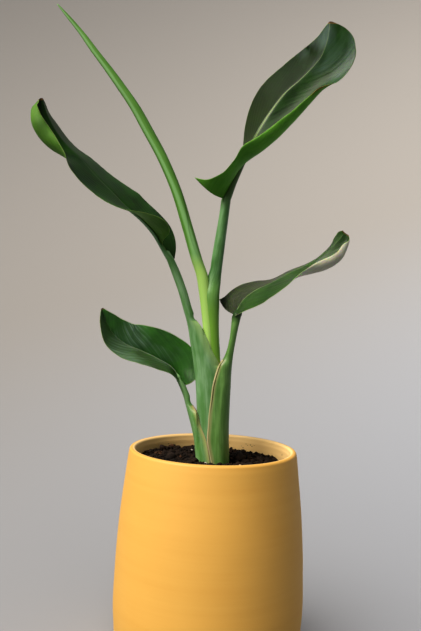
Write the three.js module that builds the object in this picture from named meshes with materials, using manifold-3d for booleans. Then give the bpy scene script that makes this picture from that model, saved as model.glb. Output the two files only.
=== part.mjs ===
// A young bird of paradise plant in a matte mustard pot.
// Millimetres, +Z up. The origin is the middle of the pot's flat base, and the front is -Y.
// The plant is a two-ranked fan: four leaves, each a clasping stalk and a blade, around one rolled spear.

import * as THREE from 'three';
import Module from 'manifold-3d';
import { mergeVertices } from 'three/addons/utils/BufferGeometryUtils.js';

const wasm = await Module();
wasm.setup();

// Driving dimensions of the pot
const POT_HEIGHT = 180;
const RIM_RADIUS = 77.5;
const FOOT_ROUND = 15;
const WALL = 7;
const LIP_WIDTH = 5.7;
const LIP_DEPTH = 6;
const LIP_ROUND = 2.4;
const FLOOR = 8;
const POT_SIDES = 44;
// Outer radius of the side at each height, foot to rim
const SIDE = [[15, 86.6], [36, 88], [60, 87.6], [90, 86.4], [118, 84.4], [145, 81.6], [163, 79.5]];

// Driving dimensions of what the pot holds
const GAP = 0.3;
const SOIL_LEVEL = 165;
const CROWN_TOP = 147.6;
const STALK_FOOT = CROWN_TOP + GAP;
const BLADE_THICKNESS = 0.9;
const BLADE_STEPS = 15;
const HALF_STEPS = 5;
const STALK_SIDES = 18;

const materials = {
  pot: new THREE.MeshStandardMaterial({ color: 0xd9a03c, roughness: 0.75, metalness: 0 }),
  soil: new THREE.MeshStandardMaterial({ color: 0x2a1f18, roughness: 1, metalness: 0 }),
  root: new THREE.MeshStandardMaterial({ color: 0xc9b48a, roughness: 0.8, metalness: 0 }),
  stalk: new THREE.MeshStandardMaterial({ color: 0x6f9f5c, roughness: 0.5, metalness: 0 }),
  blade: new THREE.MeshStandardMaterial({ color: 0x2c5a26, roughness: 0.35, metalness: 0 }),
  spear: new THREE.MeshStandardMaterial({ color: 0x8fbf5e, roughness: 0.45, metalness: 0 }),
};

// Smooth value at s through the knots; the slope at each knot comes from its two neighbours.
function smooth(knots, values, s) {
  const last = knots.length - 1;
  const rise = (i) => (values[i + 1] - values[i]) / (knots[i + 1] - knots[i]);
  const slope = (i) => {
    if (i === 0) return rise(0);
    if (i === last) return rise(last - 1);
    const before = knots[i] - knots[i - 1];
    const after = knots[i + 1] - knots[i];
    return (rise(i) * before + rise(i - 1) * after) / (before + after);
  };
  const x = Math.min(Math.max(s, knots[0]), knots[last]);
  let i = 0;
  while (i < last - 1 && x > knots[i + 1]) i += 1;
  const span = knots[i + 1] - knots[i];
  const t = (x - knots[i]) / span;
  const t2 = t * t;
  const t3 = t2 * t;
  return values[i] * (2 * t3 - 3 * t2 + 1) + slope(i) * span * (t3 - 2 * t2 + t)
    + values[i + 1] * (3 * t2 - 2 * t3) + slope(i + 1) * span * (t3 - t2);
}

const column = (rows, index) => rows.map((row) => row[index]);

// A closed mesh from its corner points and triangles, turned so that its faces point out.
function closedMesh(points, triangles) {
  let volume = 0;
  for (const [a, b, c] of triangles) {
    volume += points[a].dot(new THREE.Vector3().crossVectors(points[b], points[c]));
  }
  const index = triangles.flatMap(([a, b, c]) => (volume > 0 ? [a, b, c] : [a, c, b]));
  const geometry = new THREE.BufferGeometry();
  geometry.setAttribute('position', new THREE.Float32BufferAttribute(points.flatMap((p) => [p.x, p.y, p.z]), 3));
  geometry.setIndex(index);
  return geometry;
}

// A closed skin over rings of equal point counts, with a fan at each end.
function loft(rings) {
  const count = rings[0].length;
  const points = rings.flat();
  const triangles = [];
  for (let r = 0; r < rings.length - 1; r += 1) {
    for (let k = 0; k < count; k += 1) {
      const a = r * count + k;
      const b = r * count + (k + 1) % count;
      triangles.push([a, b, b + count], [a, b + count, a + count]);
    }
  }
  const centre = (ring) => ring.reduce((sum, p) => sum.add(p), new THREE.Vector3()).divideScalar(count);
  const first = points.push(centre(rings[0])) - 1;
  const last = points.push(centre(rings[rings.length - 1])) - 1;
  const top = (rings.length - 1) * count;
  for (let k = 0; k < count; k += 1) {
    const next = (k + 1) % count;
    triangles.push([first, next, k], [last, top + k, top + next]);
  }
  return closedMesh(points, triangles);
}

function toSolid(geometry) {
  const bare = geometry.clone();
  bare.deleteAttribute('normal');
  bare.deleteAttribute('uv');
  const merged = mergeVertices(bare, 1e-4);
  const vertProperties = new Float32Array(merged.attributes.position.array);
  const triVerts = new Uint32Array(merged.index.array);
  return new wasm.Manifold(new wasm.Mesh({ numProp: 3, vertProperties, triVerts }));
}

// The largest single body of a solid, as a geometry: a cut can leave slivers beside it.
function fromSolid(solid) {
  const bodies = solid.decompose().sort((a, b) => b.volume() - a.volume());
  const mesh = bodies[0].getMesh();
  const geometry = new THREE.BufferGeometry();
  geometry.setAttribute('position', new THREE.BufferAttribute(new Float32Array(mesh.vertProperties), 3));
  geometry.setIndex(new THREE.BufferAttribute(new Uint32Array(mesh.triVerts), 1));
  geometry.computeVertexNormals();
  return geometry;
}

// Pot: one thrown shell, open at the top, with a thicker lip inside the rim
const outerRadius = (z) => {
  const rows = [...SIDE, [POT_HEIGHT, RIM_RADIUS]];
  return smooth(column(rows, 0), column(rows, 1), z);
};

const innerRadius = (z) => outerRadius(z) - WALL;

function arc(centreR, centreZ, radius, from, to, steps) {
  return Array.from({ length: steps + 1 }, (_, k) => {
    const angle = THREE.MathUtils.degToRad(from + ((to - from) * k) / steps);
    return new THREE.Vector2(centreR + radius * Math.cos(angle), centreZ + radius * Math.sin(angle));
  });
}

// The inside of the pot below its lip, down to the floor; the soil follows it with a small inset.
const WALL_HEIGHTS = [171, 145, 118, 90, 60, 36];

function insideProfile(inset = 0) {
  const roundness = FOOT_ROUND - 4;
  const centre = SIDE[0][1] - FOOT_ROUND - WALL + 2;
  return [
    ...WALL_HEIGHTS.map((z) => new THREE.Vector2(innerRadius(z) - inset, z)),
    ...arc(centre, FLOOR + roundness, roundness - inset, 0, -90, 3),
  ];
}

function potGeometry() {
  const footCentre = SIDE[0][1] - FOOT_ROUND;
  const lipInner = RIM_RADIUS - LIP_WIDTH;
  const lipTop = POT_HEIGHT - LIP_ROUND;
  const profile = [
    new THREE.Vector2(0, 0),
    ...arc(footCentre, FOOT_ROUND, FOOT_ROUND, -90, 0, 5),
    ...SIDE.slice(1).map(([z]) => new THREE.Vector2(outerRadius(z), z)),
    ...arc(RIM_RADIUS - LIP_ROUND, lipTop, LIP_ROUND, 0, 90, 3),
    ...arc(lipInner + LIP_ROUND, lipTop, LIP_ROUND, 90, 180, 3),
    new THREE.Vector2(lipInner, POT_HEIGHT - LIP_DEPTH),
    ...insideProfile(),
    new THREE.Vector2(0, FLOOR),
  ];
  const geometry = new THREE.LatheGeometry(profile, POT_SIDES);
  geometry.rotateX(Math.PI / 2);
  return geometry;
}

// Stalks: level sections from the foot up. Each row holds
// [height, left x, right x, middle y, half depth, sheath margin x or null].
// The sheath is the clasping lower part, which ends at its margin over what it wraps.
const STALKS = {
  spear: {
    side: null,
    rows: [
      [STALK_FOOT, -6, 2, -1, 3.5], [190, -8, 0, -1, 4], [222, -9.5, -1, -1.2, 4.4],
      [243, -10.5, -1.8, -1.5, 4.7], [262, -11.5, -2.5, -2, 5], [291, -13.4, -3.6, -1.8, 5.2],
      [311, -16.1, -5.8, -1.6, 5.2], [327, -18.7, -7.6, -1.5, 5.1], [340, -21.3, -10, -1.6, 5],
      [354, -26.3, -15.3, -2, 5], [384, -35.9, -25.3, -1.5, 4.9], [421, -48.8, -38.2, -1, 4.8],
      [450, -62.8, -51.8, 0, 4.7], [473, -76.3, -65.1, 1, 4.4], [495, -89.3, -78.5, 1.5, 4.1],
      [513, -102.1, -91.9, 2, 3.7], [530, -114.6, -105.4, 3, 3.1], [546, -127, -119, 4, 2.6],
      [563, -139.3, -133, 5, 1.9], [581, -154, -150, 6, 1.2], [590, -161, -159.4, 6.5, 0.5],
    ],
  },
  upperRight: {
    side: null,
    rows: [
      [STALK_FOOT, -7, 8, 0.5, 5.8], [190, -8.5, 7, 0.5, 6], [222, -9.5, 6, 0.5, 6.2], [243, -10, 5, 0.5, 6.2],
      [262, -10.5, 4, 0, 6], [291, -11.5, 1.7, -0.8, 5.8], [311, -12.5, 1.2, -1.8, 5.6], [324, -13, 1, -1.9, 5.4],
      [334, -12.3, 1.8, 0.8, 5], [341, -10, 2.1, 1.5, 4.7], [346, -8.6, 2.5, 1.5, 4.6], [357, -7.3, 3.5, 1.5, 4.8],
      [374, -5, 5, 1.5, 4.6], [402, -1.2, 7.7, 2, 4.3], [411.5, -0.3, 8.5, 2, 4.2],
    ],
  },
  upperLeft: {
    side: 'right',
    rows: [
      [STALK_FOOT, -10.5, 11.5, -0.5, 8.6], [166, -13, 12, -0.5, 9], [190, -15, 10.5, -0.5, 9],
      [222, -16.9, 9, -0.5, 8.8], [243, -18.7, 8, -0.5, 8.5], [255, -20.5, 7.2, -0.5, 8.3, 5],
      [261, -21.4, 7, -0.5, 8.2, 1.9], [268, -22.6, 6.8, -0.5, 8.1, -2.5], [276, -24.3, 6, -0.5, 7.8, -6.2],
      [284, -25.8, 4, -0.6, 7.4, -9.8], [291.5, -27.2, 0, -0.8, 6.8, -14], [298, -28.8, -19, -1.5, 4.6],
      [306, -31.4, -22.6, -2, 4.3], [326, -37.8, -29.4, -3, 4.1], [342, -44.2, -35.9, -3.5, 3.9],
      [353, -48.8, -41.2, -4, 3.7],
    ],
  },
  lowerRight: {
    side: 'left',
    rows: [
      [STALK_FOOT, -12, 14, -1, 10.5, -1], [166, -13, 15.5, -1, 11, -1.2], [190, -10, 14.5, -1, 10.6, -5.9],
      [201, -9.5, 14.2, -1, 10.3, -5.4], [214, -9, 14.2, -1, 10, -4.9], [226, -8, 14.3, -1, 9.6, -3.7],
      [239, -6, 14.6, -1.5, 9.2, -2.5], [249, -4, 14.6, -2, 8.8, -0.3], [258, 0, 15, -3, 7.5, 2.7],
      [263, 5.8, 15.3, -4.2, 4.6], [270, 9, 16, -5, 3.4], [280, 11.3, 17.4, -5.5, 3.2],
      [292, 12.6, 19.3, -6, 3.2], [303, 13.2, 21.6, -6, 3.4],
    ],
  },
  lowerLeft: {
    side: 'right',
    rows: [
      [STALK_FOOT, -13, 12, -1, 10.5, -1.8], [165.5, -15.3, 14, -1, 11, -1.9], [176, -16.6, 12, -1, 11, -3.6],
      [188, -18.2, 9, -1, 10.8, -6.6], [201, -21.5, 3, -0.5, 10, -12], [212, -24.8, -6, 0, 8, -15.5],
      [219, -27, -20, 1.5, 4.2], [228, -30, -23.6, 3.5, 3.3], [237, -34.3, -27.8, 6, 3.2], [243, -37.6, -31, 8, 3],
    ],
  },
};

function stalkSolid({ side, rows }, grow = 0) {
  const rings = rows.map(([z, left, right, y, depth, margin], row) => {
    const centre = (left + right) / 2;
    const halfWidth = (right - left) / 2 + grow;
    const stretch = row === 0 ? -grow : row === rows.length - 1 ? grow : 0;
    return Array.from({ length: STALK_SIDES }, (_, k) => {
      const angle = (2 * Math.PI * k) / STALK_SIDES;
      let x = centre + halfWidth * Math.cos(angle);
      if (side === 'right' && margin !== undefined) x = Math.min(x, margin + grow);
      if (side === 'left' && margin !== undefined) x = Math.max(x, margin - grow);
      return new THREE.Vector3(x, y + (depth + grow) * Math.sin(angle), z + stretch);
    });
  });
  return toSolid(loft(rings));
}

// Blades: a midrib through space, and a station list for each half, seen from the front going base to tip.
// Each station is [share of length, half width, angle at the midrib, angle at the margin, forward sweep].
// An angle of 0 lies square to the view, 90 points at the viewer and -90 away; it changes faster near the margin.
const BLADES = {
  lowerLeft: {
    midrib: [
      [-34, 8, 243], [-40, 7, 252], [-54, 3, 261], [-70, -2, 268.5], [-84, -7, 274.5], [-95, -11, 283.5],
      [-101.5, -14, 294.5], [-105.5, -16, 306.5],
    ],
    left: [
      [0, 4, 80, 84, -0.4], [0.05, 12, 80, 84, -0.3], [0.14, 21, 80, 84, -0.15], [0.25, 26, 77, 81, 0],
      [0.5, 28.5, 70, 73, 0.1], [0.75, 22, 64, 71, 0.1], [0.9, 9.5, 64, 72, 0.1], [1, 1, 60, 60, 0.3],
    ],
    right: [
      [0, 8, 70, 75, -1.9], [0.05, 18, 36, 28, -1.25], [0.12, 25, 14, -5, -0.55], [0.22, 27, 10, -22, -0.1],
      [0.36, 26.4, 5, -34, 0.05], [0.5, 23.2, 0, -38, 0.12], [0.62, 19.6, 0, -40, 0.22], [0.75, 16, 0, -42, 0.4],
      [0.9, 8.6, 0, -42, 0.5], [1, 1, 0, 0, 0.4],
    ],
  },
  lowerRight: {
    midrib: [
      [15, -6, 305], [24, -9, 320], [35, -11, 329], [47, -13, 335], [64, -16, 345], [80, -19, 353],
      [92, -22, 361], [101, -25, 370], [107, -27, 377], [110.5, -28, 381.5],
    ],
    left: [
      [0, 26, -42, -46, 0.15], [0.05, 23, -46, -50, 0.08], [0.12, 23.5, -55, -59, 0.02], [0.2, 27.8, -68, -72, 0],
      [0.35, 28, -83, -87, 0.1], [0.55, 27, -86, -89, 0.15], [0.75, 20, -87, -88, 0.15], [0.9, 12, -76, -76, 0.2],
      [0.97, 6, -40, -40, 0.2], [1, 2.5, 0, 0, 0.2],
    ],
    right: [
      [0, 4, 66, 85, -0.2], [0.05, 11, 64, 82, -0.2], [0.13, 19, 56, 72, -0.1], [0.25, 25, 55, 67, 0],
      [0.38, 28, 64, 76, 0.08], [0.5, 30, 68, 90, 0.1], [0.62, 33, 56, 140, 0.12], [0.75, 36, 36, 194, 0.12],
      [0.86, 31, 22, 197, 0.12], [0.94, 19, 10, 190, 0.12], [1, 4, 0, 60, 0.2],
    ],
  },
  upperLeft: {
    midrib: [
      [-44.9, -4, 353.8], [-50.6, -4, 363], [-59.8, -5, 377], [-72.6, -6, 390], [-86, -8, 400], [-101, -10, 414],
      [-116, -12, 428], [-130, -13, 443], [-144, -14, 455], [-155, -15, 469], [-162, -16, 483], [-166, -17, 495],
    ],
    left: [
      [0, 1, 100, 110, 0], [0.09, 3, 100, 120, 0], [0.12, 16, 108, 152, -0.35], [0.17, 28, 104, 148, -0.5],
      [0.25, 34, 92, 118, -0.25], [0.36, 37, 74, 88, 0], [0.5, 37, 66, 74, 0.1], [0.62, 37, 66, 80, 0.1],
      [0.7, 38, 52, 138, 0.1], [0.78, 42.5, 36, 202, 0.12], [0.88, 39.5, 29, 214, 0.1], [0.95, 24, 19, 206, 0.1],
      [0.985, 8, 0, 190, 0.15], [1, 0.8, 0, 60, 0.2],
    ],
    right: [
      [0, 5.5, -45, -50, 0], [0.06, 16, -48, -52, -0.2], [0.14, 26, -53, -57, -0.1], [0.25, 32, -58, -63, 0],
      [0.33, 35, -58, -62, 0.05], [0.42, 36, -65, -69, 0.1], [0.55, 36, -72, -76, 0.15], [0.75, 32, -79, -83, 0.2],
      [0.88, 22, -82, -86, 0.3], [0.95, 9.5, -85, -90, 0.4], [1, 1, -75, -75, 0.4],
    ],
  },
  upperRight: {
    midrib: [
      [4, 2, 412.2], [9, 3, 427], [17, 6, 446], [29, 9, 472], [43, 11, 497], [57, 10, 516],
      [70, 8, 528], [80, 5, 538], [88, 2, 548], [93, 0, 563], [95, 0, 580],
    ],
    left: [
      [0, 12, -95, -100, -0.4], [0.06, 22, -95, -98, -0.3], [0.14, 30, -93, -96, -0.1], [0.25, 33, -86, -88, 0],
      [0.32, 34, -76, -78, 0.05], [0.39, 35, -65, -68, 0.1], [0.5, 37, -51, -54, 0.15], [0.62, 37, -45, -48, 0.2],
      [0.75, 33, -44, -48, 0.25], [0.87, 21, -46, -50, 0.35], [0.95, 10, -50, -54, 0.4], [1, 1, -45, -50, 0.4],
    ],
    right: [
      [0, 38, 140, 178, 0.26], [0.025, 29, 128, 160, 0.15], [0.055, 25, 112, 128, 0.36], [0.1, 29, 93, 120, 0.42],
      [0.16, 36, 75, 143, 0.42], [0.24, 43, 46, 168, 0.28], [0.34, 46, 25, 174, 0.22], [0.5, 46.5, 10, 160, 0.15],
      [0.62, 44, 6, 150, 0.1], [0.73, 38, 8, 125, 0.05], [0.81, 32, 5, 60, 0], [0.9, 28, 0, 20, 0],
      [0.955, 20, 0, 15, 0], [0.983, 11, 0, 10, 0.1], [1, 1.5, 0, 10, 0.2],
    ],
  },
};

function midribCurve(points) {
  const places = points.map((p) => new THREE.Vector3(...p));
  const lengths = [0];
  for (let i = 1; i < places.length; i += 1) lengths.push(lengths[i - 1] + places[i].distanceTo(places[i - 1]));
  const knots = lengths.map((length) => length / lengths[lengths.length - 1]);
  return (s) => new THREE.Vector3(
    smooth(knots, column(points, 0), s),
    smooth(knots, column(points, 1), s),
    smooth(knots, column(points, 2), s),
  );
}

// One row of surface points across the blade at s: left margin, midrib, right margin.
function bladeRow(blade, place, s) {
  const step = 0.01;
  const along = place(Math.min(s + step, 1)).sub(place(Math.max(s - step, 0))).normalize();
  const towards = new THREE.Vector3(0, -1, 0);
  towards.addScaledVector(along, -towards.dot(along)).normalize();
  const across = new THREE.Vector3().crossVectors(along, towards);
  const half = (stations, sign) => {
    const at = (index) => smooth(column(stations, 0), column(stations, index), s);
    const [width, inner, outer, sweep] = [at(1), at(2), at(3), at(4)];
    const points = [place(s)];
    for (let k = 0; k < HALF_STEPS; k += 1) {
      const share = (k + 0.5) / HALF_STEPS;
      const angle = THREE.MathUtils.degToRad(inner + (outer - inner) * share * share);
      const next = points[k].clone();
      next.addScaledVector(across, (sign * Math.cos(angle) * width) / HALF_STEPS);
      next.addScaledVector(towards, (Math.sin(angle) * width) / HALF_STEPS);
      next.addScaledVector(along, (sweep * share * width) / HALF_STEPS);
      points.push(next);
    }
    return points;
  };
  return [...half(blade.left, -1).reverse(), ...half(blade.right, 1).slice(1)];
}

function bladeSolid(blade) {
  const place = midribCurve(blade.midrib);
  const rows = Array.from({ length: BLADE_STEPS + 1 }, (_, i) => bladeRow(blade, place, i / BLADE_STEPS));
  const columns = rows[0].length;
  const clamp = (value, top) => Math.min(Math.max(value, 0), top);
  const at = (i, j) => rows[clamp(i, BLADE_STEPS)][clamp(j, columns - 1)];
  const skin = (lift) => rows.flatMap((row, i) => row.map((point, j) => {
    const lengthwise = at(i + 1, j).clone().sub(at(i - 1, j));
    const crosswise = at(i, j + 1).clone().sub(at(i, j - 1));
    const normal = lengthwise.cross(crosswise).normalize();
    return point.clone().addScaledVector(normal, lift);
  }));
  const points = [...skin(BLADE_THICKNESS / 2), ...skin(-BLADE_THICKNESS / 2)];
  const under = rows.length * columns;
  const triangles = [];
  const quad = (a, b, c, d) => triangles.push([a, b, c], [a, c, d]);
  for (let i = 0; i < BLADE_STEPS; i += 1) {
    for (let j = 0; j < columns - 1; j += 1) {
      const a = i * columns + j;
      quad(a, a + 1, a + columns + 1, a + columns);
      quad(under + a, under + a + columns, under + a + columns + 1, under + a + 1);
    }
    const left = i * columns;
    const right = left + columns - 1;
    quad(left, left + columns, under + left + columns, under + left);
    quad(right + columns, right, under + right, under + right + columns);
  }
  for (let j = 0; j < columns - 1; j += 1) {
    const tip = BLADE_STEPS * columns + j;
    quad(j + 1, j, under + j, under + j + 1);
    quad(tip, tip + 1, under + tip + 1, under + tip);
  }
  return toSolid(closedMesh(points, triangles));
}

// A round piece along a smooth path, with its own radius at each end and a blunt tip.
function tubeSolid(path, startRadius, endRadius, sides, steps, grow = 0) {
  const curve = new THREE.CatmullRomCurve3(path.map((p) => new THREE.Vector3(...p)));
  const frames = curve.computeFrenetFrames(steps);
  const rings = Array.from({ length: steps + 1 }, (_, i) => {
    const share = i / steps;
    const radius = startRadius + (endRadius - startRadius) * share + grow;
    const centre = curve.getPointAt(share);
    if (i === steps) centre.addScaledVector(frames.tangents[i], grow);
    if (i === 0) centre.addScaledVector(frames.tangents[i], -grow);
    return Array.from({ length: sides }, (_, k) => {
      const angle = (2 * Math.PI * k) / sides;
      return centre.clone()
        .addScaledVector(frames.normals[i], radius * Math.cos(angle))
        .addScaledVector(frames.binormals[i], radius * Math.sin(angle));
    });
  });
  return toSolid(loft(rings));
}

// Rootstock: the short crown that the stalks stand on, and its thick fleshy roots, grown as one piece
const CROWN = [[116, 5], [119, 10], [125, 15], [134, 17.5], [142, 16.5], [CROWN_TOP, 14.5]];
const ROOTS = [
  { path: [[-8, 0, 130], [-30, -8, 118], [-50, -18, 92], [-58, -12, 60]], radius: 3.6 },
  { path: [[8, 2, 128], [32, 10, 112], [50, 8, 84], [52, 22, 50]], radius: 3.8 },
  { path: [[2, -8, 128], [12, -30, 112], [8, -52, 84], [22, -54, 52]], radius: 3.4 },
  { path: [[-2, 8, 128], [-14, 30, 108], [-12, 50, 76], [-28, 48, 44]], radius: 3.6 },
  { path: [[-3, -3, 124], [-12, -14, 98], [-22, -22, 66], [-16, -36, 34]], radius: 4 },
  { path: [[3, 3, 124], [12, 10, 94], [6, 20, 62], [18, 18, 30]], radius: 4.2 },
];

function rootstockSolid(grow = 0) {
  const sides = 14;
  const rings = CROWN.map(([z, radius], row) => Array.from({ length: sides }, (_, k) => {
    const angle = (2 * Math.PI * k) / sides;
    const end = row === 0 ? -grow : row === CROWN.length - 1 ? grow : 0;
    return new THREE.Vector3((radius + grow) * Math.cos(angle), (radius + grow) * Math.sin(angle), z + end);
  }));
  return ROOTS.reduce(
    (solid, { path, radius }) => solid.add(tubeSolid(path, radius, radius * 0.45, 7, 8, grow)),
    toSolid(loft(rings)),
  );
}

// Soil: fills the pot, slightly mounded at the stalks and higher at the back left
function soilHeight(x, y) {
  const radius = Math.hypot(x, y);
  const mound = 2.4 * Math.exp(-((radius / 26) ** 2));
  const lean = -0.03 * x + 0.02 * y;
  const bumps = 1.1 * Math.sin(x * 0.21 + 1) * Math.cos(y * 0.17) + 0.8 * Math.sin(y * 0.33 + x * 0.12);
  return SOIL_LEVEL + mound + lean + bumps;
}

// Pale dry slivers that lie half sunk in the soil beside the stalks: each point is x, y and its rise from the soil
const SLIVERS = {
  root_sliver_short: { path: [[13.5, -19, -0.6], [15, -20.5, 0.5], [16.5, -21.5, 1.1]], radius: 1.1 },
  root_sliver_curved: { path: [[25, -15, -0.8], [26.4, -12, 0.7], [25.4, -8, 1], [22.6, -5, -0.3]], radius: 0.9 },
};

function sliverSolid({ path, radius }, grow = 0) {
  const laid = path.map(([x, y, rise]) => [x, y, soilHeight(x, y) + rise]);
  return tubeSolid(laid, radius, radius * 0.6, 7, 6, grow);
}

function soilSolid() {
  const profile = insideProfile(GAP);
  const [upper, lower] = profile;
  const edge = (z) => THREE.MathUtils.mapLinear(z, upper.y, lower.y, upper.x, lower.x);
  const direction = (k) => [Math.cos((2 * Math.PI * k) / POT_SIDES), Math.sin((2 * Math.PI * k) / POT_SIDES)];
  const top = [0.1, 0.26, 0.42, 0.58, 0.74, 0.88, 1].map((share) => Array.from({ length: POT_SIDES }, (_, k) => {
    const [cos, sin] = direction(k);
    const level = soilHeight(edge(SOIL_LEVEL) * share * cos, edge(SOIL_LEVEL) * share * sin);
    const radius = edge(level) * share;
    return new THREE.Vector3(radius * cos, radius * sin, level);
  }));
  const wall = profile.slice(1).map(({ x, y }) => Array.from({ length: POT_SIDES }, (_, k) => {
    const [cos, sin] = direction(k);
    return new THREE.Vector3(x * cos, x * sin, y);
  }));
  return toSolid(loft([...top, ...wall]));
}

// The plant, put together from the inside out: each sheath is hollowed by what it wraps
const solids = Object.fromEntries(Object.entries(STALKS).map(([name, stalk]) => [name, stalkSolid(stalk)]));
const grown = Object.fromEntries(Object.entries(STALKS).map(([name, stalk]) => [name, stalkSolid(stalk, GAP)]));
const wraps = {
  upperRight: ['spear'],
  upperLeft: ['spear', 'upperRight'],
  lowerRight: ['spear', 'upperRight', 'upperLeft'],
  lowerLeft: ['spear', 'upperRight', 'upperLeft', 'lowerRight'],
};
const stalks = Object.fromEntries(Object.entries(wraps).map(([name, inner]) => [
  name,
  inner.reduce((solid, other) => solid.subtract(grown[other]), solids[name]),
]));
const fan = Object.values(grown).reduce((all, solid) => all.add(solid));

const soil = Object.values(SLIVERS).reduce(
  (solid, sliver) => solid.subtract(sliverSolid(sliver, GAP)),
  soilSolid().subtract(rootstockSolid(GAP)).subtract(fan),
);

const plant = new THREE.Group();
const potted = new THREE.Group();
potted.add(plant);

function add(group, name, geometry, material) {
  const mesh = new THREE.Mesh(geometry, material);
  mesh.name = name;
  group.add(mesh);
}

const NODE_PLACE = { lowerLeft: 'lower_left', lowerRight: 'lower_right', upperLeft: 'upper_left', upperRight: 'upper_right' };

add(potted, 'pot', fromSolid(toSolid(potGeometry())), materials.pot);
add(potted, 'soil', fromSolid(soil), materials.soil);
add(plant, 'rootstock', fromSolid(rootstockSolid()), materials.root);
add(plant, 'spear_leaf', fromSolid(solids.spear), materials.spear);
for (const [key, place] of Object.entries(NODE_PLACE)) {
  add(plant, `leaf_stalk_${place}`, fromSolid(stalks[key]), materials.stalk);
  add(plant, `leaf_blade_${place}`, fromSolid(bladeSolid(BLADES[key]).subtract(fan)), materials.blade);
}
for (const [name, sliver] of Object.entries(SLIVERS)) {
  add(potted, name, fromSolid(sliverSolid(sliver)), materials.root);
}

export default potted;
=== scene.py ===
"""Looks of a young bird of paradise plant, potted in a matte mustard pot.

Drawn sizes are millimetres in the frame's axes: +Z up, the front is -Y and the origin is the middle of the
pot's base. make_piece turns them into metres. The plant is a fan of four leaves, each a clasping stalk and a
blade, around one leaf that is still rolled into a spear.
"""

from __future__ import annotations

import logging
import math
from dataclasses import dataclass
from enum import Enum
from functools import partial
from typing import Callable, Sequence

import bmesh
import bpy
import numpy as np
from mathutils import Matrix, Vector, noise

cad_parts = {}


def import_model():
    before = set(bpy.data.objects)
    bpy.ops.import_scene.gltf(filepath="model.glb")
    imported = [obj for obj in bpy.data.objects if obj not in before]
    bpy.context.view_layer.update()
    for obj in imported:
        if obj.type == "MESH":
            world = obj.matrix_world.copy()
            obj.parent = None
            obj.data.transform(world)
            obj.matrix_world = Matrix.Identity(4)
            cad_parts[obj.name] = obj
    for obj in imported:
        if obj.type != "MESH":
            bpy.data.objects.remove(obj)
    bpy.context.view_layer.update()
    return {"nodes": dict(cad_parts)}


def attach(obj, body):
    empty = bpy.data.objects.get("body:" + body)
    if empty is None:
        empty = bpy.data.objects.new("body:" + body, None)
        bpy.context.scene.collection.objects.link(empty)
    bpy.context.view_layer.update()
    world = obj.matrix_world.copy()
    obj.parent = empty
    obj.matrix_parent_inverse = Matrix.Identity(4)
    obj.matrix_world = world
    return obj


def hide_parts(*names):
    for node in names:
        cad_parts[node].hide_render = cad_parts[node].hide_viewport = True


log = logging.getLogger("potted_plant")

MM = 0.001
MM_PER_M = 1000
TURN = 2 * math.pi
BODY = "root"
VIEWER = np.array([0.0, -1.0, 0.0])
LEAF_PLACE = "leaf_place"
LEAF_MARKS = "leaf_marks"
STALK_PLACE = "stalk_place"
SOIL_LEVEL = 165.0
STALK_FOOT = 147.9
RIB_OVERLAP = 3.0
# How far off the margin counts as lying where a stalk has none
NO_MARGIN = 40.0

Array = np.ndarray
Rows = Sequence[Sequence[float]]
Material = bpy.types.Material
Node = bpy.types.Node
Socket = bpy.types.NodeSocket
Tree = bpy.types.NodeTree
Piece = bpy.types.Object
Shape = tuple[Array, list]
Adder = Callable[..., Node]


def linear(code: str) -> tuple[float, ...]:
    """Turns an sRGB hex colour into the linear one, with an alpha of one, that a shader socket takes.

    Args:
        code: The hex colour, after a # sign.

    Returns:
        Red, green, blue and alpha.
    """
    channels = [int(code[i : i + 2], 16) / 255 for i in (1, 3, 5)]
    lit = [c / 12.92 if c <= 0.04045 else ((c + 0.055) / 1.055) ** 2.4 for c in channels]
    return (*lit, 1.0)


def smooth(table: Rows, at: Array) -> Array:
    """Reads a smooth curve through a table; the slope at each row comes from its two neighbours.

    Args:
        table: Rows of a rising position and one or more values.
        at: The positions to read, held to the table's range.

    Returns:
        The values there, one row each where the table holds several.
    """
    rows = np.asarray(table, float)
    k, v = rows[:, 0], rows[:, 1:]
    gaps = np.diff(k)[:, None]
    rise = np.diff(v, axis=0) / gaps
    before, after = gaps[:-1], gaps[1:]
    inner = (rise[1:] * before + rise[:-1] * after) / (before + after)
    slope = np.vstack([rise[:1], inner, rise[-1:]])
    x = np.clip(np.asarray(at, float), k[0], k[-1])
    i = np.clip(np.searchsorted(k, x, side="right") - 1, 0, len(k) - 2)
    span = gaps[i]
    t = (x - k[i])[:, None] / span
    found = (
        v[i] * (2 * t**3 - 3 * t**2 + 1)
        + slope[i] * span * (t**3 - 2 * t**2 + t)
        + v[i + 1] * (3 * t**2 - 2 * t**3)
        + slope[i + 1] * span * (t**3 - t**2)
    )
    return found if v.shape[1] > 1 else found[:, 0]


def unit(vectors: Array) -> Array:
    """Returns the vectors at length one."""
    return vectors / (np.linalg.norm(vectors, axis=-1, keepdims=True) + 1e-12)


def ease(x: Array | float, low: float, high: float) -> Array:
    """Rises smoothly from 0 at low to 1 at high; it falls where high is the lower number."""
    t = np.clip((np.asarray(x, float) - low) / (high - low), 0, 1)
    return t * t * (3 - 2 * t)


def ripple(points: Array, size: float, seed: float, octaves: int = 3) -> Array:
    """Reads seeded fractal noise, from about -1 to 1, at points.

    Args:
        points: Places in millimetres, in any array shape that ends in three.
        size: The size of the largest lump in millimetres.
        seed: Shifts the pattern.
        octaves: How many finer layers are added.

    Returns:
        One value for each point.
    """
    values = [noise.fractal(Vector(p), 0.9, 2.1, octaves) for p in points.reshape(-1, 3) / size + seed]
    return np.array(values).reshape(points.shape[:-1])


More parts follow.
